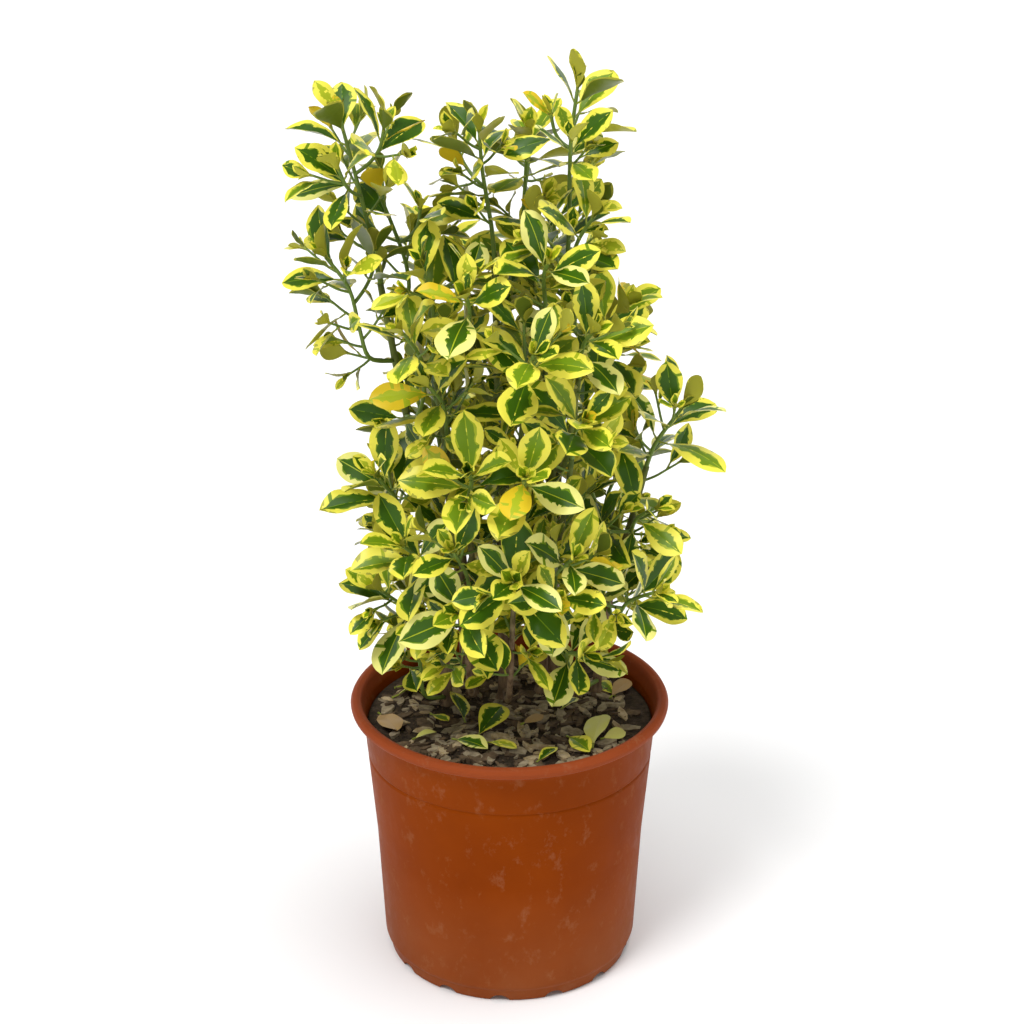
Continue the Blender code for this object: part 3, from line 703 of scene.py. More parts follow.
# Plain base colours: linear red, green, blue
LEAF_COLOURS = {
    "dark_green": (0.040, 0.112, 0.002),
    "mid_green": (0.155, 0.265, 0.006),
    "lime": (0.390, 0.460, 0.016),
    "lemon": (0.850, 0.780, 0.080),
    "cream": (0.850, 0.820, 0.230),
    "gold": (0.720, 0.520, 0.020),
    "under_green": (0.120, 0.165, 0.014),
    "under_pale": (0.430, 0.420, 0.050),
    "tan": (0.460, 0.300, 0.130),
    "stalks": (0.300, 0.350, 0.050),
}
# Kinds of leaf: core, patches, rib, margin, width of the core
KINDS = {
    "mature": ("dark_green", "mid_green", "mid_green", "lemon", 0.50),
    "light": ("mid_green", "lime", "lime", "lemon", 0.46),
    "cream": ("dark_green", "mid_green", "lime", "cream", 0.50),
    "green": ("dark_green", "mid_green", "mid_green", "lemon", 0.80),
    "young": ("lime", "lime", "lime", "lemon", 0.34),
    "gold": ("lime", "gold", "lime", "gold", 0.30),
    "pale": ("cream", "cream", "cream", "cream", 0.30),
    "dry": ("tan", "tan", "tan", "tan", 0.30),
}
# Their undersides: the middle and the edge
UNDERSIDES = {
    "mature": ("under_green", "under_pale"),
    "light": ("under_pale", "under_pale"),
    "cream": ("under_pale", "cream"),
    "green": ("under_green", "under_pale"),
    "young": ("under_pale", "under_pale"),
    "gold": ("gold", "gold"),
    "pale": ("under_pale", "cream"),
    "dry": ("tan", "tan"),
}
# Chances of the kinds, added up: near the tips, and further in at two heights
TIP_KINDS = ((0.03, "gold"), (0.35, "young"), (0.70, "light"), (1.0, "mature"))
HIGH_KINDS = ((0.03, "gold"), (0.16, "green"), (0.30, "cream"), (0.68, "light"), (1.0, "mature"))
LOW_KINDS = ((0.03, "gold"), (0.16, "green"), (0.50, "cream"), (0.68, "light"), (1.0, "mature"))
CREAMY_HEIGHT = 0.42  # below this more leaves are creamy

# Chips: dark colour, light colour, count
CHIPS = {
    "chips_dark": ((0.060, 0.040, 0.022), (0.20, 0.135, 0.078), 240),
    "chips_grey": ((0.18, 0.140, 0.085), (0.50, 0.41, 0.27), 230),
    "chips_tan": ((0.30, 0.20, 0.095), (0.68, 0.55, 0.34), 90),
}

# Fallen leaves: place of the root in mm, direction in degrees, length in mm, kind
FALLEN = (
    (-97, 48, 19, 44, "cream"),
    (-98, 26, 29, 45, "cream"),
    (-36, -16, 104, 40, "mature"),
    (-108, 5, -67, 43, "dry"),
    (-27, -46, 64, 48, "mature"),
    (-46, -46, -40, 36, "cream"),
    (-20, -52, -21, 27, "young"),
    (21, -82, 50, 25, "mature"),
    (46, -39, -60, 34, "light"),
    (66, -62, 81, 48, "pale"),
    (83, 25, 55, 31, "dry"),
    (-80, 68, 52, 29, "gold"),
    (73, -46, 20, 22, "pale"),
    (-65, -2, -46, 22, "light"),
    (42, 5, 57, 25, "cream"),
    (9, -22, 32, 22, "dry"),
    (-78, -46, 32, 22, "pale"),
    (-30, 92, 200, 38, "cream"),
    (50, 84, 140, 34, "dry"),
    (-84, 50, 300, 30, "mature"),
    (88, 30, 120, 28, "light"),
)


# ---------- pieces ----------

def add_object(name, data):
    result = bpy.data.objects.new(name, data)
    bpy.context.scene.collection.objects.link(result)
    return result


def add_piece(name, verts, faces, material, slot, smooth=True):
    mesh = bpy.data.meshes.new(name)
    mesh.from_pydata(verts, [], faces)
    mesh.materials.append(material)
    if smooth:
        mesh.polygons.foreach_set("use_smooth", [True] * len(mesh.polygons))
    piece = add_object(name, mesh)
    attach(piece, "root")
    return piece


def gather(shapes):
    """The verts and faces of several shapes as those of one."""
    verts = []
    faces = []
    for shape_verts, shape_faces in shapes:
        base = len(verts)
        verts.extend(tuple(v) for v in shape_verts)
        faces.extend(tuple(i + base for i in face) for face in shape_faces)
    return verts, faces


class Heap:
    """Verts, normals and faces of leaves that are gathered into one joined piece."""

    def __init__(self):
        self.verts = []
        self.normals = []
        self.faces = []
        self.count = 0

    def add(self, verts, normals, faces):
        """Adds those of the verts that the faces use."""
        used, inverse = np.unique(faces, return_inverse=True)
        self.verts.append(verts[used])
        self.normals.append(normals[used])
        self.faces.append(inverse.reshape(faces.shape) + self.count)
        self.count += len(used)

    def build(self, name, material, slot):
        verts = np.concatenate(self.verts).tolist()
        normals = np.concatenate(self.normals).tolist()
        faces = np.concatenate(self.faces).tolist()
        piece = add_piece(name, verts, faces, material, slot)
        piece.data.normals_split_custom_set_from_vertices(normals)
        return piece


# ---------- materials ----------

class Nodes:
    """The nodes of a material or the world, and short ways to add to them."""

    def __init__(self, owner, shader):
        owner.use_nodes = True
        self.owner = owner
        self.tree = owner.node_tree
        self.shader = self.tree.nodes[shader]

    def feed(self, node, inputs):
        """Links the node's inputs, or sets them to a number, a vector or a plain colour."""
        for name, value in inputs.items():
            socket = node.inputs[name]
            if isinstance(value, bpy.types.NodeSocket):
                self.tree.links.new(value, socket)
            else:
                socket.default_value = (*value, 1.0) if socket.type == "RGBA" else value

    def finish(self, **inputs):
        """Feeds the shader itself, whose inputs are written with _ for each space."""
        self.feed(self.shader, {name.replace("_", " "): value for name, value in inputs.items()})
        return self.owner

    def add(self, kind, output, inputs, **settings):
        """A new node with these inputs. Gives one of its outputs."""
        node = self.tree.nodes.new("ShaderNode" + kind)
        for name, value in settings.items():
            setattr(node, name, value)
        self.feed(node, inputs)
        return node.outputs[output]

    def place(self, scale=(1, 1, 1)):
        coords = self.add("TexCoord", "Object", {})
        return self.add("Mapping", "Vector", {"Vector": coords, "Scale": scale})

    def height(self):
        return self.add("SeparateXYZ", "Z", {"Vector": self.place()})

    def noise(self, scale, detail, rough=0.55, stretch=(1, 1, 1)):
        return self.add("TexNoise", "Fac", {
            "Vector": self.place(stretch), "Scale": scale, "Detail": detail, "Roughness": rough})

    def ramp(self, value, *stops):
        output = self.add("ValToRGB", "Color", {"Fac": value})
        elements = output.node.color_ramp.elements
        while len(elements) < len(stops):
            elements.new(0.5)
        for element, (place, colour) in zip(elements, stops):
            element.position = place
            element.color = (*colour, 1.0)
        return output

    def span(self, value, low, high, to_low, to_high):
        return self.add("MapRange", "Result", {
            "Value": value, "From Min": low, "From Max": high, "To Min": to_low, "To Max": to_high})

    def mix(self, share, first, second):
        return self.add("Mix", 2, {0: share, 6: first, 7: second}, data_type="RGBA")

    def bump(self, value, distance, strength=1.0):
        return self.add("Bump", "Normal", {"Height": value, "Distance": distance, "Strength": strength})


def principled(name, roughness, colour=(0.5, 0.5, 0.5), shine=0.25):
    nodes = Nodes(bpy.data.materials.new(name), "Principled BSDF")
    nodes.finish(Base_Color=colour, Roughness=roughness, Specular_IOR_Level=shine)
    return nodes


def plastic_material():
    """Clouded plastic with a lip made paler by painted sheen, dusty scuffs and smears near the foot."""
    nodes = principled("pot_plastic_looks", 0.6, shine=0.03)
    height = nodes.height()
    scuffs = nodes.noise(70.0, 8.0, 0.75, (1.0, 1.0, 0.7))
    colour = nodes.ramp(nodes.noise(9.0, 5.0),
                        (0.3, (0.195, 0.0310, 0.0004)), (0.7, (0.245, 0.042, 0.0008)))
    # painted sheen: the whole rolled lip is mixed towards a paler, pinker colour, as if lit
    lip = nodes.span(height, *LIP_SHEEN_SPAN, 0.0, 0.55)
    colour = nodes.mix(lip, colour, (0.30, 0.066, 0.026))
    dust = nodes.span(scuffs, 0.55, 0.74, 0.0, 0.38)
    colour = nodes.mix(dust, colour, (0.34, 0.17, 0.09))
    low = nodes.span(height, 0.0, SMEAR_TOP, 0.55, 0.0)
    smears = nodes.add("Math", 0, {0: low, 1: nodes.noise(16.0, 6.0, 0.65)}, operation="MULTIPLY")
    colour = nodes.mix(smears, colour, (0.28, 0.12, 0.055))
    return nodes.finish(Base_Color=colour, Roughness=nodes.span(scuffs, 0.35, 0.75, 0.36, 0.62),
                        Normal=nodes.bump(nodes.noise(420.0, 3.0), 0.00012, 0.5))


def soil_material():
    nodes = principled("soil_looks", 0.95)
    colour = nodes.ramp(
        nodes.noise(190.0, 8.0, 0.7), (0.30, (0.016, 0.011, 0.007)), (0.50, (0.055, 0.038, 0.023)),
        (0.62, (0.085, 0.060, 0.040)), (0.75, (0.20, 0.15, 0.10)))
    return nodes.finish(Base_Color=colour, Normal=nodes.bump(nodes.noise(260.0, 8.0, 0.7), 0.0025))


def bark_material():
    """Brown bark at the foot that turns green higher up, streaked along the limb."""
    nodes = principled("bark_looks", 0.75)
    streaks = nodes.noise(170.0, 6.0, 0.6, (1.0, 1.0, 0.16))
    old = nodes.ramp(streaks, (0.35, (0.085, 0.050, 0.024)), (0.65, (0.27, 0.185, 0.105)))
    fresh = nodes.ramp(streaks, (0.35, (0.075, 0.110, 0.020)), (0.65, (0.17, 0.20, 0.045)))
    rise = nodes.span(nodes.height(), *GREEN_BARK, 0.0, 1.0)
    return nodes.finish(Base_Color=nodes.mix(rise, old, fresh), Normal=nodes.bump(streaks, 0.0008))


def chip_material(name, dark, light):
    nodes = principled(name, 0.9)
    grain = nodes.noise(150.0, 6.0, 0.65)
    colour = nodes.ramp(grain, (0.3, dark), (0.7, light))
    return nodes.finish(Base_Color=colour, Normal=nodes.bump(grain, 0.0008))


def white_horizon():
    """Plain light that is white at the horizon and darker overhead."""
    nodes = Nodes(bpy.data.worlds.new("studio"), "Background")
    height = nodes.add("SeparateXYZ", "Z", {"Vector": nodes.add("TexCoord", "Generated", {})})
    return nodes.finish(Color=nodes.ramp(height, (0.25, (1.0, 1.0, 1.0)), (0.6, (0.22, 0.22, 0.22))))


# ---------- limbs and twigs ----------

def refined(points, radii, steps):
    """The same path and radii through more points, on a smooth curve."""
    fine = []
    fine_radii = []
    last = len(points) - 1
    for i in range(last):
        before = points[max(i - 1, 0)]
        after = points[min(i + 2, last)]
        a, b = points[i], points[i + 1]
        for k in range(steps):
            t = k / steps
            fine.append(0.5 * (2 * a + (b - before) * t + (2 * before - 5 * a + 4 * b - after) * t**2
                               + (3 * a - before - 3 * b + after) * t**3))
            fine_radii.append(radii[i] * (1 - t) + radii[i + 1] * t)
    fine.append(points[-1])
    fine_radii.append(radii[-1])
    return fine, fine_radii


def barked(points, radii, seed):
    """A tube with ridges along it and knots at uneven distances."""
    verts, faces = tube(points, radii, BARK_SIDES)
    travelled = 0.0
    for ring, point in enumerate(points):
        if ring:
            travelled += (point - points[ring - 1]).length
        knot = max(0.0, noise.noise(Vector((travelled * KNOTS, seed, 0.5)))) ** 2
        for i in range(BARK_SIDES):
            vert = verts[ring * BARK_SIDES + i]
            turn = 2 * math.pi * i / BARK_SIDES
            spot = Vector((math.cos(turn) * RIDGE_ROUND, math.sin(turn) * RIDGE_ROUND + seed,
                           travelled * RIDGES))
            swell = 1 + BARK_RELIEF * noise.noise(spot) + 0.5 * knot * BARK_RELIEF
            verts[ring * BARK_SIDES + i] = point + (vert - point) * swell
    return verts, faces


# ---------- leaves ----------

def sheet(along, across, form):
    """Points of a leaf's face, in shares of its length, for arrays of places on it."""
    width, fold, curl, arch, droop, wave, phase, twist = form
    half = np.interp(along, SHAPE_ALONG, SHAPE_HALF) * width
    y = across * half
    x = PETIOLE + (1 - PETIOLE) * along
    z = arch * along * (1 - along) - droop * along**2 + fold * np.abs(y) - curl * y**2
    turns = WAVES * along + phase + 0.25 * np.sign(across)
    z = z + wave * np.sin(2 * np.pi * turns) * np.abs(across)**1.5
    z = z + twist * y * along
    return np.stack((x, y, z), axis=-1)


def sheet_normals(along, across, form):
    step = 0.012
    a = np.clip(along, step, 1 - step)
    rise = sheet(a + step, across, form) - sheet(a - step, across, form)
    over = sheet(a, across + step, form) - sheet(a, across - step, form)
    normals = np.cross(rise, over)
    return normals / np.linalg.norm(normals, axis=-1, keepdims=True)


def jagged(rng, count):
    """Uneven steps along a leaf, as the edge of its green patch runs."""
    values = [rng.uniform(-JAG, JAG)]
    for _ in range(count - 1):
        values.append(JAG_CARRIED * values[-1] + rng.uniform(-JAG, JAG))
    return np.array(values)


def quads(rows, columns):
    i, j = np.meshgrid(np.arange(rows - 1), np.arange(columns - 1), indexing="ij")
    first = i * columns + j
    return np.stack((first, first + 1, first + columns + 1, first + columns), axis=-1)


class Blade:
    """The form of one leaf and its place on the plant."""

    def __init__(self, leaf, rng):
        self.length = leaf.length * VISUAL_SIZE
        self.form = [rng.uniform(low, high) for low, high in FORM]
        roll = rng.uniform(-ROLL, ROLL)
        side = around(leaf.side, leaf.face, roll)
        face = leaf.face * math.cos(roll) - leaf.side * math.sin(roll)
        self.root = leaf.root
        self.axes = np.array((leaf.way, side, face)) * self.length

    def placed(self, points):
        return np.array(self.root) + points @ self.axes

    def turned(self, normals):
        return normals.reshape(-1, 3) @ (self.axes / self.length)


def add_leaf(heaps, leaf, kind, rng):
    """One leaf: a face in patches of colour, a plain underside and a stalk."""
    blade = Blade(leaf, rng)
    along, core_reach = add_face(heaps, blade, kind, rng)
    add_underside(heaps, blade, kind, along[::2], core_reach[::2])
    add_stalk(heaps, blade)


def add_face(heaps, blade, kind, rng):
    """The face. Gives its stations and how far the green reaches at each one."""
    core, patch, rib, margin, core_width = KINDS[kind]
    count = SMALL_STATIONS if blade.length < SMALL_LEAF else STATIONS
    along = np.linspace(0.0, 1.0, count)
    core_width = core_width + rng.uniform(-CORE_SPREAD, CORE_SPREAD)
    end = np.clip((rng.uniform(*CORE_END) - along) / CORE_TAPER, 0.0, 1.0) ** 0.7
    halves = []
    for _ in range(2):
        first = np.clip((core_width + jagged(rng, count)) * end, RIB * 1.6, CORE_MOST)
        second = first + (PATCH_LEAST + np.abs(jagged(rng, count))) * (0.3 + 0.7 * end)
        halves.append((first, np.clip(second, first + 0.02, PATCH_MOST)))
    (left_core, left_patch), (right_core, right_patch) = halves
    full = np.ones(count)
    across = np.stack((-full, -left_patch, -left_core, -full * RIB,
                       full * RIB, right_core, right_patch, full), axis=1)
    grid = np.repeat(along[:, None], across.shape[1], axis=1)
    verts = blade.placed(sheet(grid, across, blade.form).reshape(-1, 3))
    normals = blade.turned(sheet_normals(grid, across, blade.form))
    faces = quads(*across.shape)
    chosen = {}
    for j, colour in enumerate((margin, patch, core, rib, core, patch, margin)):
        for i in range(count - 1):
            draw = rng.random()
            name = colour
            if colour == patch and draw < PATCH_AS_CORE:
                name = core
            elif colour == patch and draw < PATCH_AS_MARGIN:
                name = margin
            elif colour == margin and draw < MARGIN_AS_PATCH:
                name = patch
            chosen.setdefault(name, []).append(faces[i, j])
    for name, picked in chosen.items():
        heaps[name].add(verts, normals, np.array(picked))
    return along, left_core + right_core


def add_underside(heaps, blade, kind, along, core_reach):
    """The underside: coarser than the face, in two colours, and lower in the middle."""
    edge = np.clip(core_reach, 0.05, 0.9)
    zero = np.zeros(len(along))
    across = np.stack((zero + 1.0, edge, zero, -edge, zero - 1.0), axis=1)
    grid = np.repeat(along[:, None], across.shape[1], axis=1)
    points = sheet(grid, across, blade.form)
    points[..., 2] -= UNDER_DEPTHS / blade.length
    verts = blade.placed(points.reshape(-1, 3))
    normals = blade.turned(-sheet_normals(grid, across, blade.form))
    faces = quads(*across.shape)
    for name, columns in zip(UNDERSIDES[kind], ((1, 2), (0, 3))):
        heaps[name].add(verts, normals, faces[:, columns].reshape(-1, 4))


def add_stalk(heaps, blade):
    top = Vector(blade.placed(np.array((PETIOLE + 0.02, 0.0, 0.0))))
    spine = [blade.root, blade.root.lerp(top, 0.5), top]
    verts, faces = tube(spine, STALK_RADII, STALK_SIDES)
    verts = np.array([tuple(v) for v in verts])
    normals = verts - np.repeat(np.array([tuple(p) for p in spine]), STALK_SIDES, axis=0)
    normals /= np.linalg.norm(normals, axis=1, keepdims=True)
    heaps["stalks"].add(verts, normals, np.array(faces[:-2]))   # without its two ends


def picture_place(point):
    """Where a point falls in the photograph, in pixels."""
    away = point - CAMERA_PLACE
    ahead = away.dot(CAMERA_WAY)
    return (IMAGE_PIXELS / 2 + FOCAL_PIXELS * away.x / ahead,
            IMAGE_PIXELS / 2 - FOCAL_PIXELS * away.dot(CAMERA_UP) / ahead)


def blocks_sky(leaf):
    """Whether a leaf would cover one of the openings."""
    half = LEAF_WIDTH / 2
    places = ((0.3, 0.0), (0.6, 0.0), (0.95, 0.0), (0.55, half), (0.55, -half), (0.8, 0.2), (0.8, -0.2))
    spots = [picture_place(leaf.spot(along, across, 0.0)) for along, across in places]
    return any(math.hypot(u - x, v - y) < r for x, y, r in OPENINGS for u, v in spots)


def within_reach(leaf, boxes):
    """Whether the leaf stays in the box of one of the masses."""
    half = LEAF_WIDTH / 2
    spots = [leaf.spot(along, across, 0.0) for along, across in ((1.0, 0.0), (0.55, half), (0.55, -half))]
    return any(all(low[k] - BOX_SLACK < spot[k] < high[k] + BOX_SLACK for spot in spots for k in range(3))
               for low, high in boxes)


def grow_fine_twigs(masses, limbs, fixed, placed):
    """Short twigs with small leaves in the room that is left, at places in random order."""
    rng = random.Random(SEED * 77)
    boxes = [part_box(name) for name in MASSES]
    carriers = [shoot for mass in masses for shoot in mass.shoots]
    for limb in limbs.values():
        carriers.append(Shoot(limb.points, limb.radii, 0, rng.uniform(0, math.pi), 1.0))
    sites = []
    for carrier in carriers:
        distance = FINE_START
        while distance < carrier.length * FINE_END:
            sites.append((carrier, distance))
            distance += rng.uniform(*FINE_STEP) * MM
    rng.shuffle(sites)
    solid = list(fixed)
    grown = []
    for carrier, distance in sites:
        if len(placed) >= LEAF_LIMIT:
            break
        point, way, side, other = carrier.at(distance)
        if point.z < SOIL_TOP + FINE_LOWEST:
            continue
        reach = rng.uniform(*FINE_REACH)
        size = rng.uniform(*FINE_SIZE)
        start_turn = rng.uniform(0, 2 * math.pi)
        for step in range(FINE_TRIES):
            out = around(side, other, start_turn + step * math.pi / 2)
            twig = fine_twig(point, way, out, reach, size, rng)
            tip = twig.points[-1]
            near = [tree for place, tree in placed if (place - tip).length < NEAR]
            free = [twig.points[0].lerp(twig.points[1], 0.8)] + twig.points[1:]
            obstacles = near + [tree for owner, tree in solid if owner is not carrier]
            if not is_clear(shoot_tube(free, twig.radii, CLEAR), obstacles):
                continue
            leaves = fine_leaves(twig, near + [tree for _, tree in solid], boxes, rng)
            if len(leaves) < 2:
                continue
            placed += [(leaf.spot(0.5, 0, 0), feeler) for _, leaf, feeler in leaves]
            solid.append((twig, shoot_tube(twig.points, twig.radii, 0.0)))
            grown.append((twig, [(pair, leaf) for pair, leaf, _ in leaves]))
            break
    return grown


def fine_twig(point, way, out, reach, size, rng):
    tip = point + (way * 0.5 + out * 0.8 + UP * 0.2).normalized() * reach
    path = curve(point, out + way * 0.6, tip, way * 0.6 + out + UP * 0.3, FINE_POINTS)
    radii = taper(FINE_RADIUS * 1.1, FINE_RADIUS * 0.85, FINE_POINTS)
    return Shoot(path, radii, FINE_PAIRS, rng.uniform(0, math.pi), size)


def fine_leaves(twig, obstacles, boxes, rng):
    """Those leaves of a fine twig that are clear, off the soil, in reach and out of the openings."""
    leaves = []
    for pair in range(FINE_PAIRS):
        for which in range(2):
            leaf = twig.leaf(pair, which, rng.uniform(-FINE_BEND, FINE_BEND),
                             rng.uniform(-FINE_TWIST, FINE_TWIST), rng.uniform(*FINE_SCALE))
            if leaf is None or leaf.spot(1, 0, 0).z < SOIL_TOP + SOIL_CLEAR:
                continue
            if blocks_sky(leaf) or not within_reach(leaf, boxes):
                continue
            feeler = leaf.feeler()
            if is_clear(feeler, obstacles + [entry[2] for entry in leaves]):
                leaves.append((pair, leaf, feeler))
    return leaves


def tuft_leaf(shoot, which, rng):
    """A small leaf that stands almost in line with the twig, at its tip."""
    point, way, side, other = shoot.at(0.0)
    turn = shoot.turn + TUFT_TURN[0] + which * TUFT_TURN[1]
    out = around(side, other, turn)
    opened = math.radians(rng.uniform(*TUFT_OPEN))
    rib = around(way, out, opened)
    across = rib.cross(way * math.sin(opened) - out * math.cos(opened)).normalized()
    length = LEAF_LENGTH * shoot.size * rng.uniform(*TUFT_SIZE)
    return Leaf(point - way * TUFT_SUNK * MM, rib, across, length)


def leaf_kind(rng, pair, height):
    """Young leaves stand at the tips, creamy and green ones lower and further in."""
    draw = rng.random()
    kinds = TIP_KINDS if pair <= 1 else HIGH_KINDS if height > CREAMY_HEIGHT else LOW_KINDS
    return next(kind for limit, kind in kinds if draw < limit)


# ---------- the plant ----------

limbs = {name: grow_stem(name) for name in STEMS}
for name in BOUGHS:
    limbs[name] = grow_bough(name, limbs)
fixed = []
for name, limb in limbs.items():
    sides = STEM_SIDES if name in STEMS else BOUGH_SIDES
    fixed.append((limb, BVHTree.FromPolygons(*tube(limb.points, limb.radii, sides))))
limb_trees = [tree for _, tree in fixed]
masses = [grow_mass(name, limbs, limb_trees) for name in MASSES]
for mass in masses:
    for shoot in mass.shoots:
        fixed.append((shoot, shoot_tube(shoot.points, shoot.radii, 0.0)))
fixed.append((None, BVHTree.FromPolygons(*turned(pot_profile(), POT_SIDES))))
grow_leaves(masses, fixed)
placed = [(leaf.spot(0.5, 0, 0), leaf.feeler()) for mass in masses for leaf in mass.leaves]
fine = grow_fine_twigs(masses, limbs, fixed, placed)
shoots = [shoot for mass in masses for shoot in mass.shoots] + [twig for twig, _ in fine]

bark = bark_material()
for group, names in (("stems_bark", STEMS), ("boughs_bark", BOUGHS)):
    shapes = []
    for number, name in enumerate(names):
        points, radii = refined(limbs[name].points, limbs[name].radii, BARK_STEPS)
        shapes.append(barked(points, radii, number * 7.3))
    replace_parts(add_piece(group, *gather(shapes), bark, "bark"), *names)

twig_green = principled("twig_green", 0.5, (0.150, 0.230, 0.040)).owner
shapes = [tube(*refined(shoot.points, shoot.radii, TWIG_STEPS), TWIG_ROUND) for shoot in shoots]
twigs = add_piece("twigs", *gather(shapes), twig_green, "foliage")

heaps = {name: Heap() for name in LEAF_COLOURS}
rng = random.Random(SEED * 5)
for mass in masses:
    for leaf in mass.leaves:
        pair = 0 if leaf.length / LEAF_LENGTH < 0.74 else 3
        if not blocks_sky(leaf):
            add_leaf(heaps, leaf, leaf_kind(rng, pair, leaf.root.z), rng)
for twig, leaves in fine:
    for pair, leaf in leaves:
        add_leaf(heaps, leaf, leaf_kind(rng, pair, leaf.root.z), rng)
for shoot in shoots:
    for which in range(TUFT_LEAVES):
        leaf = tuft_leaf(shoot, which, rng)
        if leaf.spot(1, 0, 0).z < FRAME_BOX[1].z + TOP_SLACK and not blocks_sky(leaf):
            add_leaf(heaps, leaf, leaf_kind(rng, 0, leaf.root.z), rng)


# ---------- soil, chips and fallen leaves ----------

def soil_height(x, y):
    rise = 0.0
    for height, scale, layer in SOIL_NOISE:
        rise += height * noise.noise(Vector((x * scale, y * scale, layer)))
    past = max(0.0, (math.hypot(x, y) - SOIL_FLAT) / (SOIL_EDGE - SOIL_FLAT))
    for foot, _, _, _ in STEMS.values():
        away = math.hypot(x - foot[0] * MM, y - foot[1] * MM)
        rise = rise + (MOUND_HEIGHT - rise) * math.exp(-(away / MOUND_RADIUS) ** 2)
    return SOIL_TOP - SOIL_DIP * past + rise


def on_soil(x, y, lift):
    return Vector((x, y, soil_height(x, y) + lift))


def scattered(rng, reach):
    """An even random place within a circle."""
    radius = reach * math.sqrt(rng.random())
    turn = rng.uniform(0, 2 * math.pi)
    return radius * math.cos(turn), radius * math.sin(turn)


def heading(turn, rise=0.0):
    return Vector((math.cos(turn), math.sin(turn), rise))


def chip(rng, place, length, width, thick):
    """A flat, split piece of bark with uneven ends."""
    turn = rng.uniform(0, 2 * math.pi)
    way = heading(turn, rng.uniform(-0.22, 0.22)).normalized()
    side = way.cross(UP).normalized()
    side = (side + UP * rng.uniform(-0.3, 0.3)).normalized()
    face = side.cross(way)
    count = CHIP_CORNERS
    outline = []
    for i in range(count):
        angle = 2 * math.pi * (i + rng.uniform(-0.25, 0.25)) / count
        stretch = rng.uniform(0.75, 1.1)
        outline.append((math.cos(angle) * length / 2 * stretch, math.sin(angle) * width / 2 * stretch))
    verts = []
    for lift, shrink in ((-1, 0.9), (1, 1.0)):
        for x, y in outline:
            bend = rng.uniform(-0.15, 0.15) * thick
            verts.append(place + way * x * shrink + side * y * shrink + face * (lift * thick / 2 + bend))
    return verts, prism(count)


wall_gap = WALL + 0.4 * MM
edge_radius = wall_radius(SOIL_TOP - SOIL_DIP) - wall_gap
profile = [
    (0.0, FLOOR_TOP + GAP), (HEEL_RADIUS - wall_gap - 5 * MM, FLOOR_TOP + GAP),
    (HEEL_RADIUS - wall_gap, HEEL_HEIGHT + 3.4 * MM), (WAIST_RADIUS - wall_gap, WAIST_HEIGHT),
]
profile += [(edge_radius * (SOIL_RINGS - i) / SOIL_RINGS, SOIL_TOP) for i in range(SOIL_RINGS)]
verts, faces = turned(profile + [(0.0, SOIL_TOP)], SOIL_SIDES)
verts = [on_soil(v.x, v.y, 0.0) if v.z == SOIL_TOP else v for v in verts]
soil = add_piece("soil_surface", *gather([(verts, faces)]), soil_material(), "soil")
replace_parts(soil, "soil")

rng = random.Random(SEED * 9)
chip_materials = {name: chip_material(name, dark, light) for name, (dark, light, _) in CHIPS.items()}
for name, (_, _, count) in CHIPS.items():
    shapes = []
    for _ in range(count):
        x, y = scattered(rng, CHIP_REACH)
        length = rng.uniform(*CHIP_LENGTH) * MM
        width = length * rng.uniform(*CHIP_WIDTH)
        thick = min(width, rng.uniform(*CHIP_THICK) * MM)
        if math.hypot(x, y) + length / 2 <= CHIP_LIMIT:
            shapes.append(chip(rng, on_soil(x, y, thick * 0.35), length, width, thick))
    add_piece(name, *gather(shapes), chip_materials[name], "soil", smooth=False)

shapes = []
for _ in range(CRUMBS):
    x, y = scattered(rng, CRUMB_REACH)
    size = rng.uniform(*CRUMB_SIZE) * MM
    shapes.append(chip(rng, on_soil(x, y, size * 0.2), size, size * 0.8, size * 0.7))
add_piece("soil_crumbs", *gather(shapes), chip_materials["chips_dark"], "soil", smooth=False)

for x, y, turn, length, kind in FALLEN:
    way = heading(math.radians(turn), rng.uniform(0.08, 0.20)).normalized()
    tilt = Vector((rng.uniform(-0.2, 0.2), rng.uniform(-0.2, 0.2), 0))
    side = way.cross((UP + tilt).normalized()).normalized()
    leaf = Leaf(on_soil(x * MM, y * MM, FALLEN_LIFT), way, side, length * MM)
    add_leaf(heaps, leaf, kind, rng)

leaf_pieces = []
for name, colour in LEAF_COLOURS.items():
    material = principled("leaf_" + name, 0.34, colour, 0.24).owner
    leaf_pieces.append(heaps[name].build("leaf_" + name, material, "foliage"))
for piece in [twigs] + leaf_pieces:
    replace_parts(piece, *MASSES)


# ---------- pot ----------

def cut_away(piece, shape):
    cutter = add_piece("pot_cutter", *shape, None, "pot_plastic")
    modifier = piece.modifiers.new("cut", "BOOLEAN")
    modifier.operation = "DIFFERENCE"
    modifier.solver = "EXACT"
    modifier.object = cutter
    graph = bpy.context.evaluated_depsgraph_get()
    piece.data = bpy.data.meshes.new_from_object(piece.evaluated_get(graph), depsgraph=graph)
    piece.modifiers.clear()
    bpy.data.objects.remove(cutter)


def rounded_profile():
    """The pot's section with rounded corners."""
    coarse = pot_profile()
    fine = [coarse[0]]
    for before, corner, after in zip(coarse, coarse[1:], coarse[2:]):
        a, b, c = (Vector(p) for p in (before, corner, after))
        cut = min(EDGE_ROUNDING, (a - b).length * 0.3, (c - b).length * 0.3)
        start = b + (a - b).normalized() * cut
        end = b + (c - b).normalized() * cut
        fine += [tuple(start), tuple(start * 0.25 + b * 0.5 + end * 0.25), tuple(end)]
    return fine + [coarse[-1]]


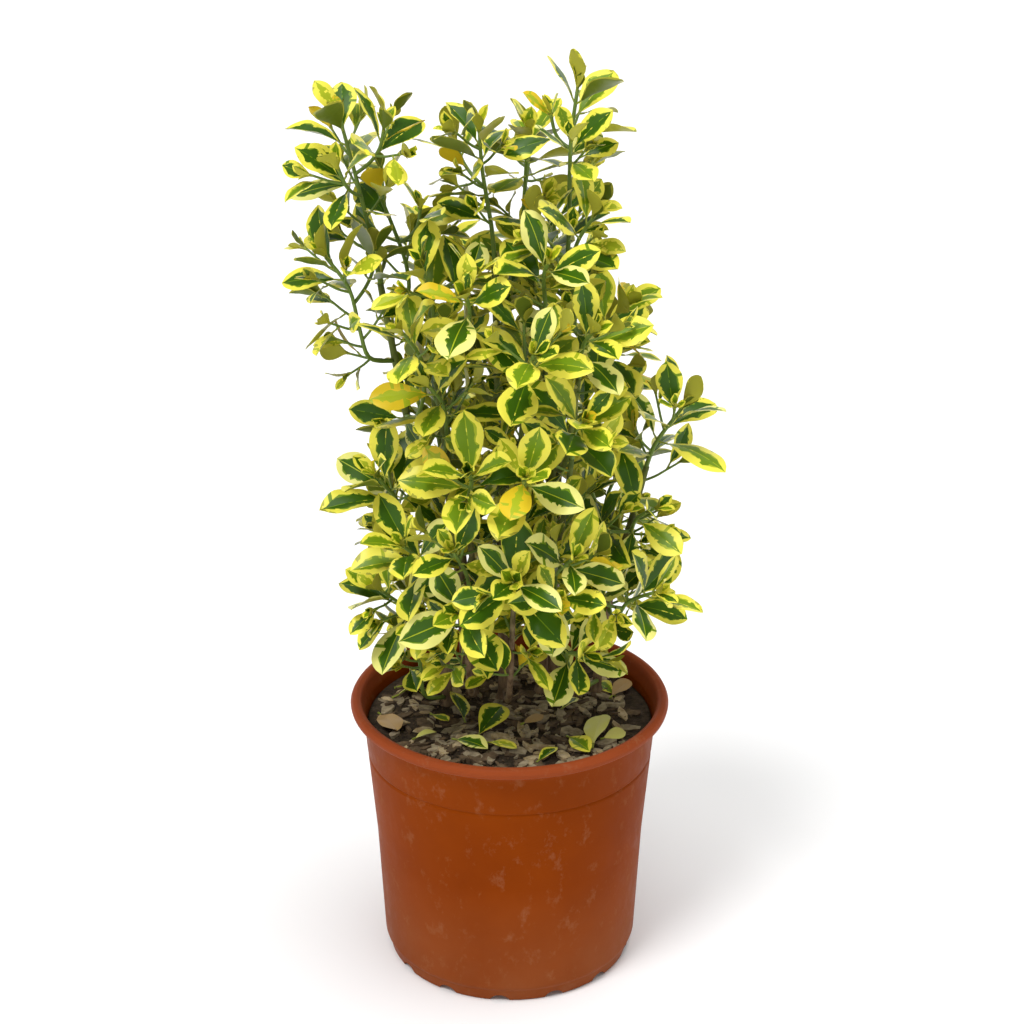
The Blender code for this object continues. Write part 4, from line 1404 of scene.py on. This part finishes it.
def foot_gap(number):
    """A rod that cuts a flat arch through the foot ring, out past the wall."""
    out = heading(2 * math.pi * (number + 0.32) / FOOT_COUNT)
    sunk = UP * (FOOT_GAP_HEIGHT - FOOT_GAP_RADIUS)
    path = [out * (FOOT_INNER - 8 * MM) + sunk, out * (HEEL_RADIUS + 4 * MM) + sunk]
    return tube(path, [FOOT_GAP_RADIUS] * 2, 40)


def drain_hole(number):
    spot = heading(2 * math.pi * number / DRAIN_COUNT) * DRAIN_RING
    return tube([spot - UP * 4 * MM, spot + UP * 14 * MM], [DRAIN_RADIUS] * 2, 24)


shell = gather([turned(rounded_profile(), POT_ROUND_SIDES)])
pot = add_piece("pot_shell", *shell, plastic_material(), "pot_plastic")
cutters = [foot_gap(i) for i in range(FOOT_COUNT)] + [drain_hole(i) for i in range(DRAIN_COUNT)]
cut_away(pot, gather(cutters))
pot.data.set_sharp_from_angle(angle=SHARP_ANGLE)
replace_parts(pot, "pot")


# ---------- stage, light and camera ----------

def add_sun(name, place, strength, spread):
    light = bpy.data.lights.new(name, "SUN")
    light.energy = strength
    light.angle = math.radians(spread)
    holder = add_object(name, light)
    holder.location = place
    holder.rotation_euler = (-Vector(place)).to_track_quat("-Z", "Y").to_euler()


mesh = bpy.data.meshes.new("floor")
square = ((-1, -1), (1, -1), (1, 1), (-1, 1))
mesh.from_pydata([(x * FLOOR_REACH, y * FLOOR_REACH, -FLOOR_DROP) for x, y in square], [], [(0, 1, 2, 3)])
mesh.materials.append(principled("floor_white", 0.9, (0.93, 0.93, 0.93)).owner)
add_object("floor", mesh)

bpy.context.scene.world = white_horizon()
add_sun("key", (-1.2, -1.5, 3.2), 1.6, 20)
add_sun("top", (0.4, -0.2, 3.0), 1.7, 40)
bpy.context.scene.view_settings.view_transform = "Standard"

camera = bpy.data.cameras.new("camera")
camera.sensor_width = SENSOR_WIDTH
camera.lens = SENSOR_WIDTH * FOCAL_PIXELS / IMAGE_PIXELS
holder = add_object("camera", camera)
holder.location = CAMERA_PLACE
holder.rotation_euler = (math.pi / 2 - CAMERA_PITCH, 0.0, 0.0)
bpy.context.scene.camera = holder
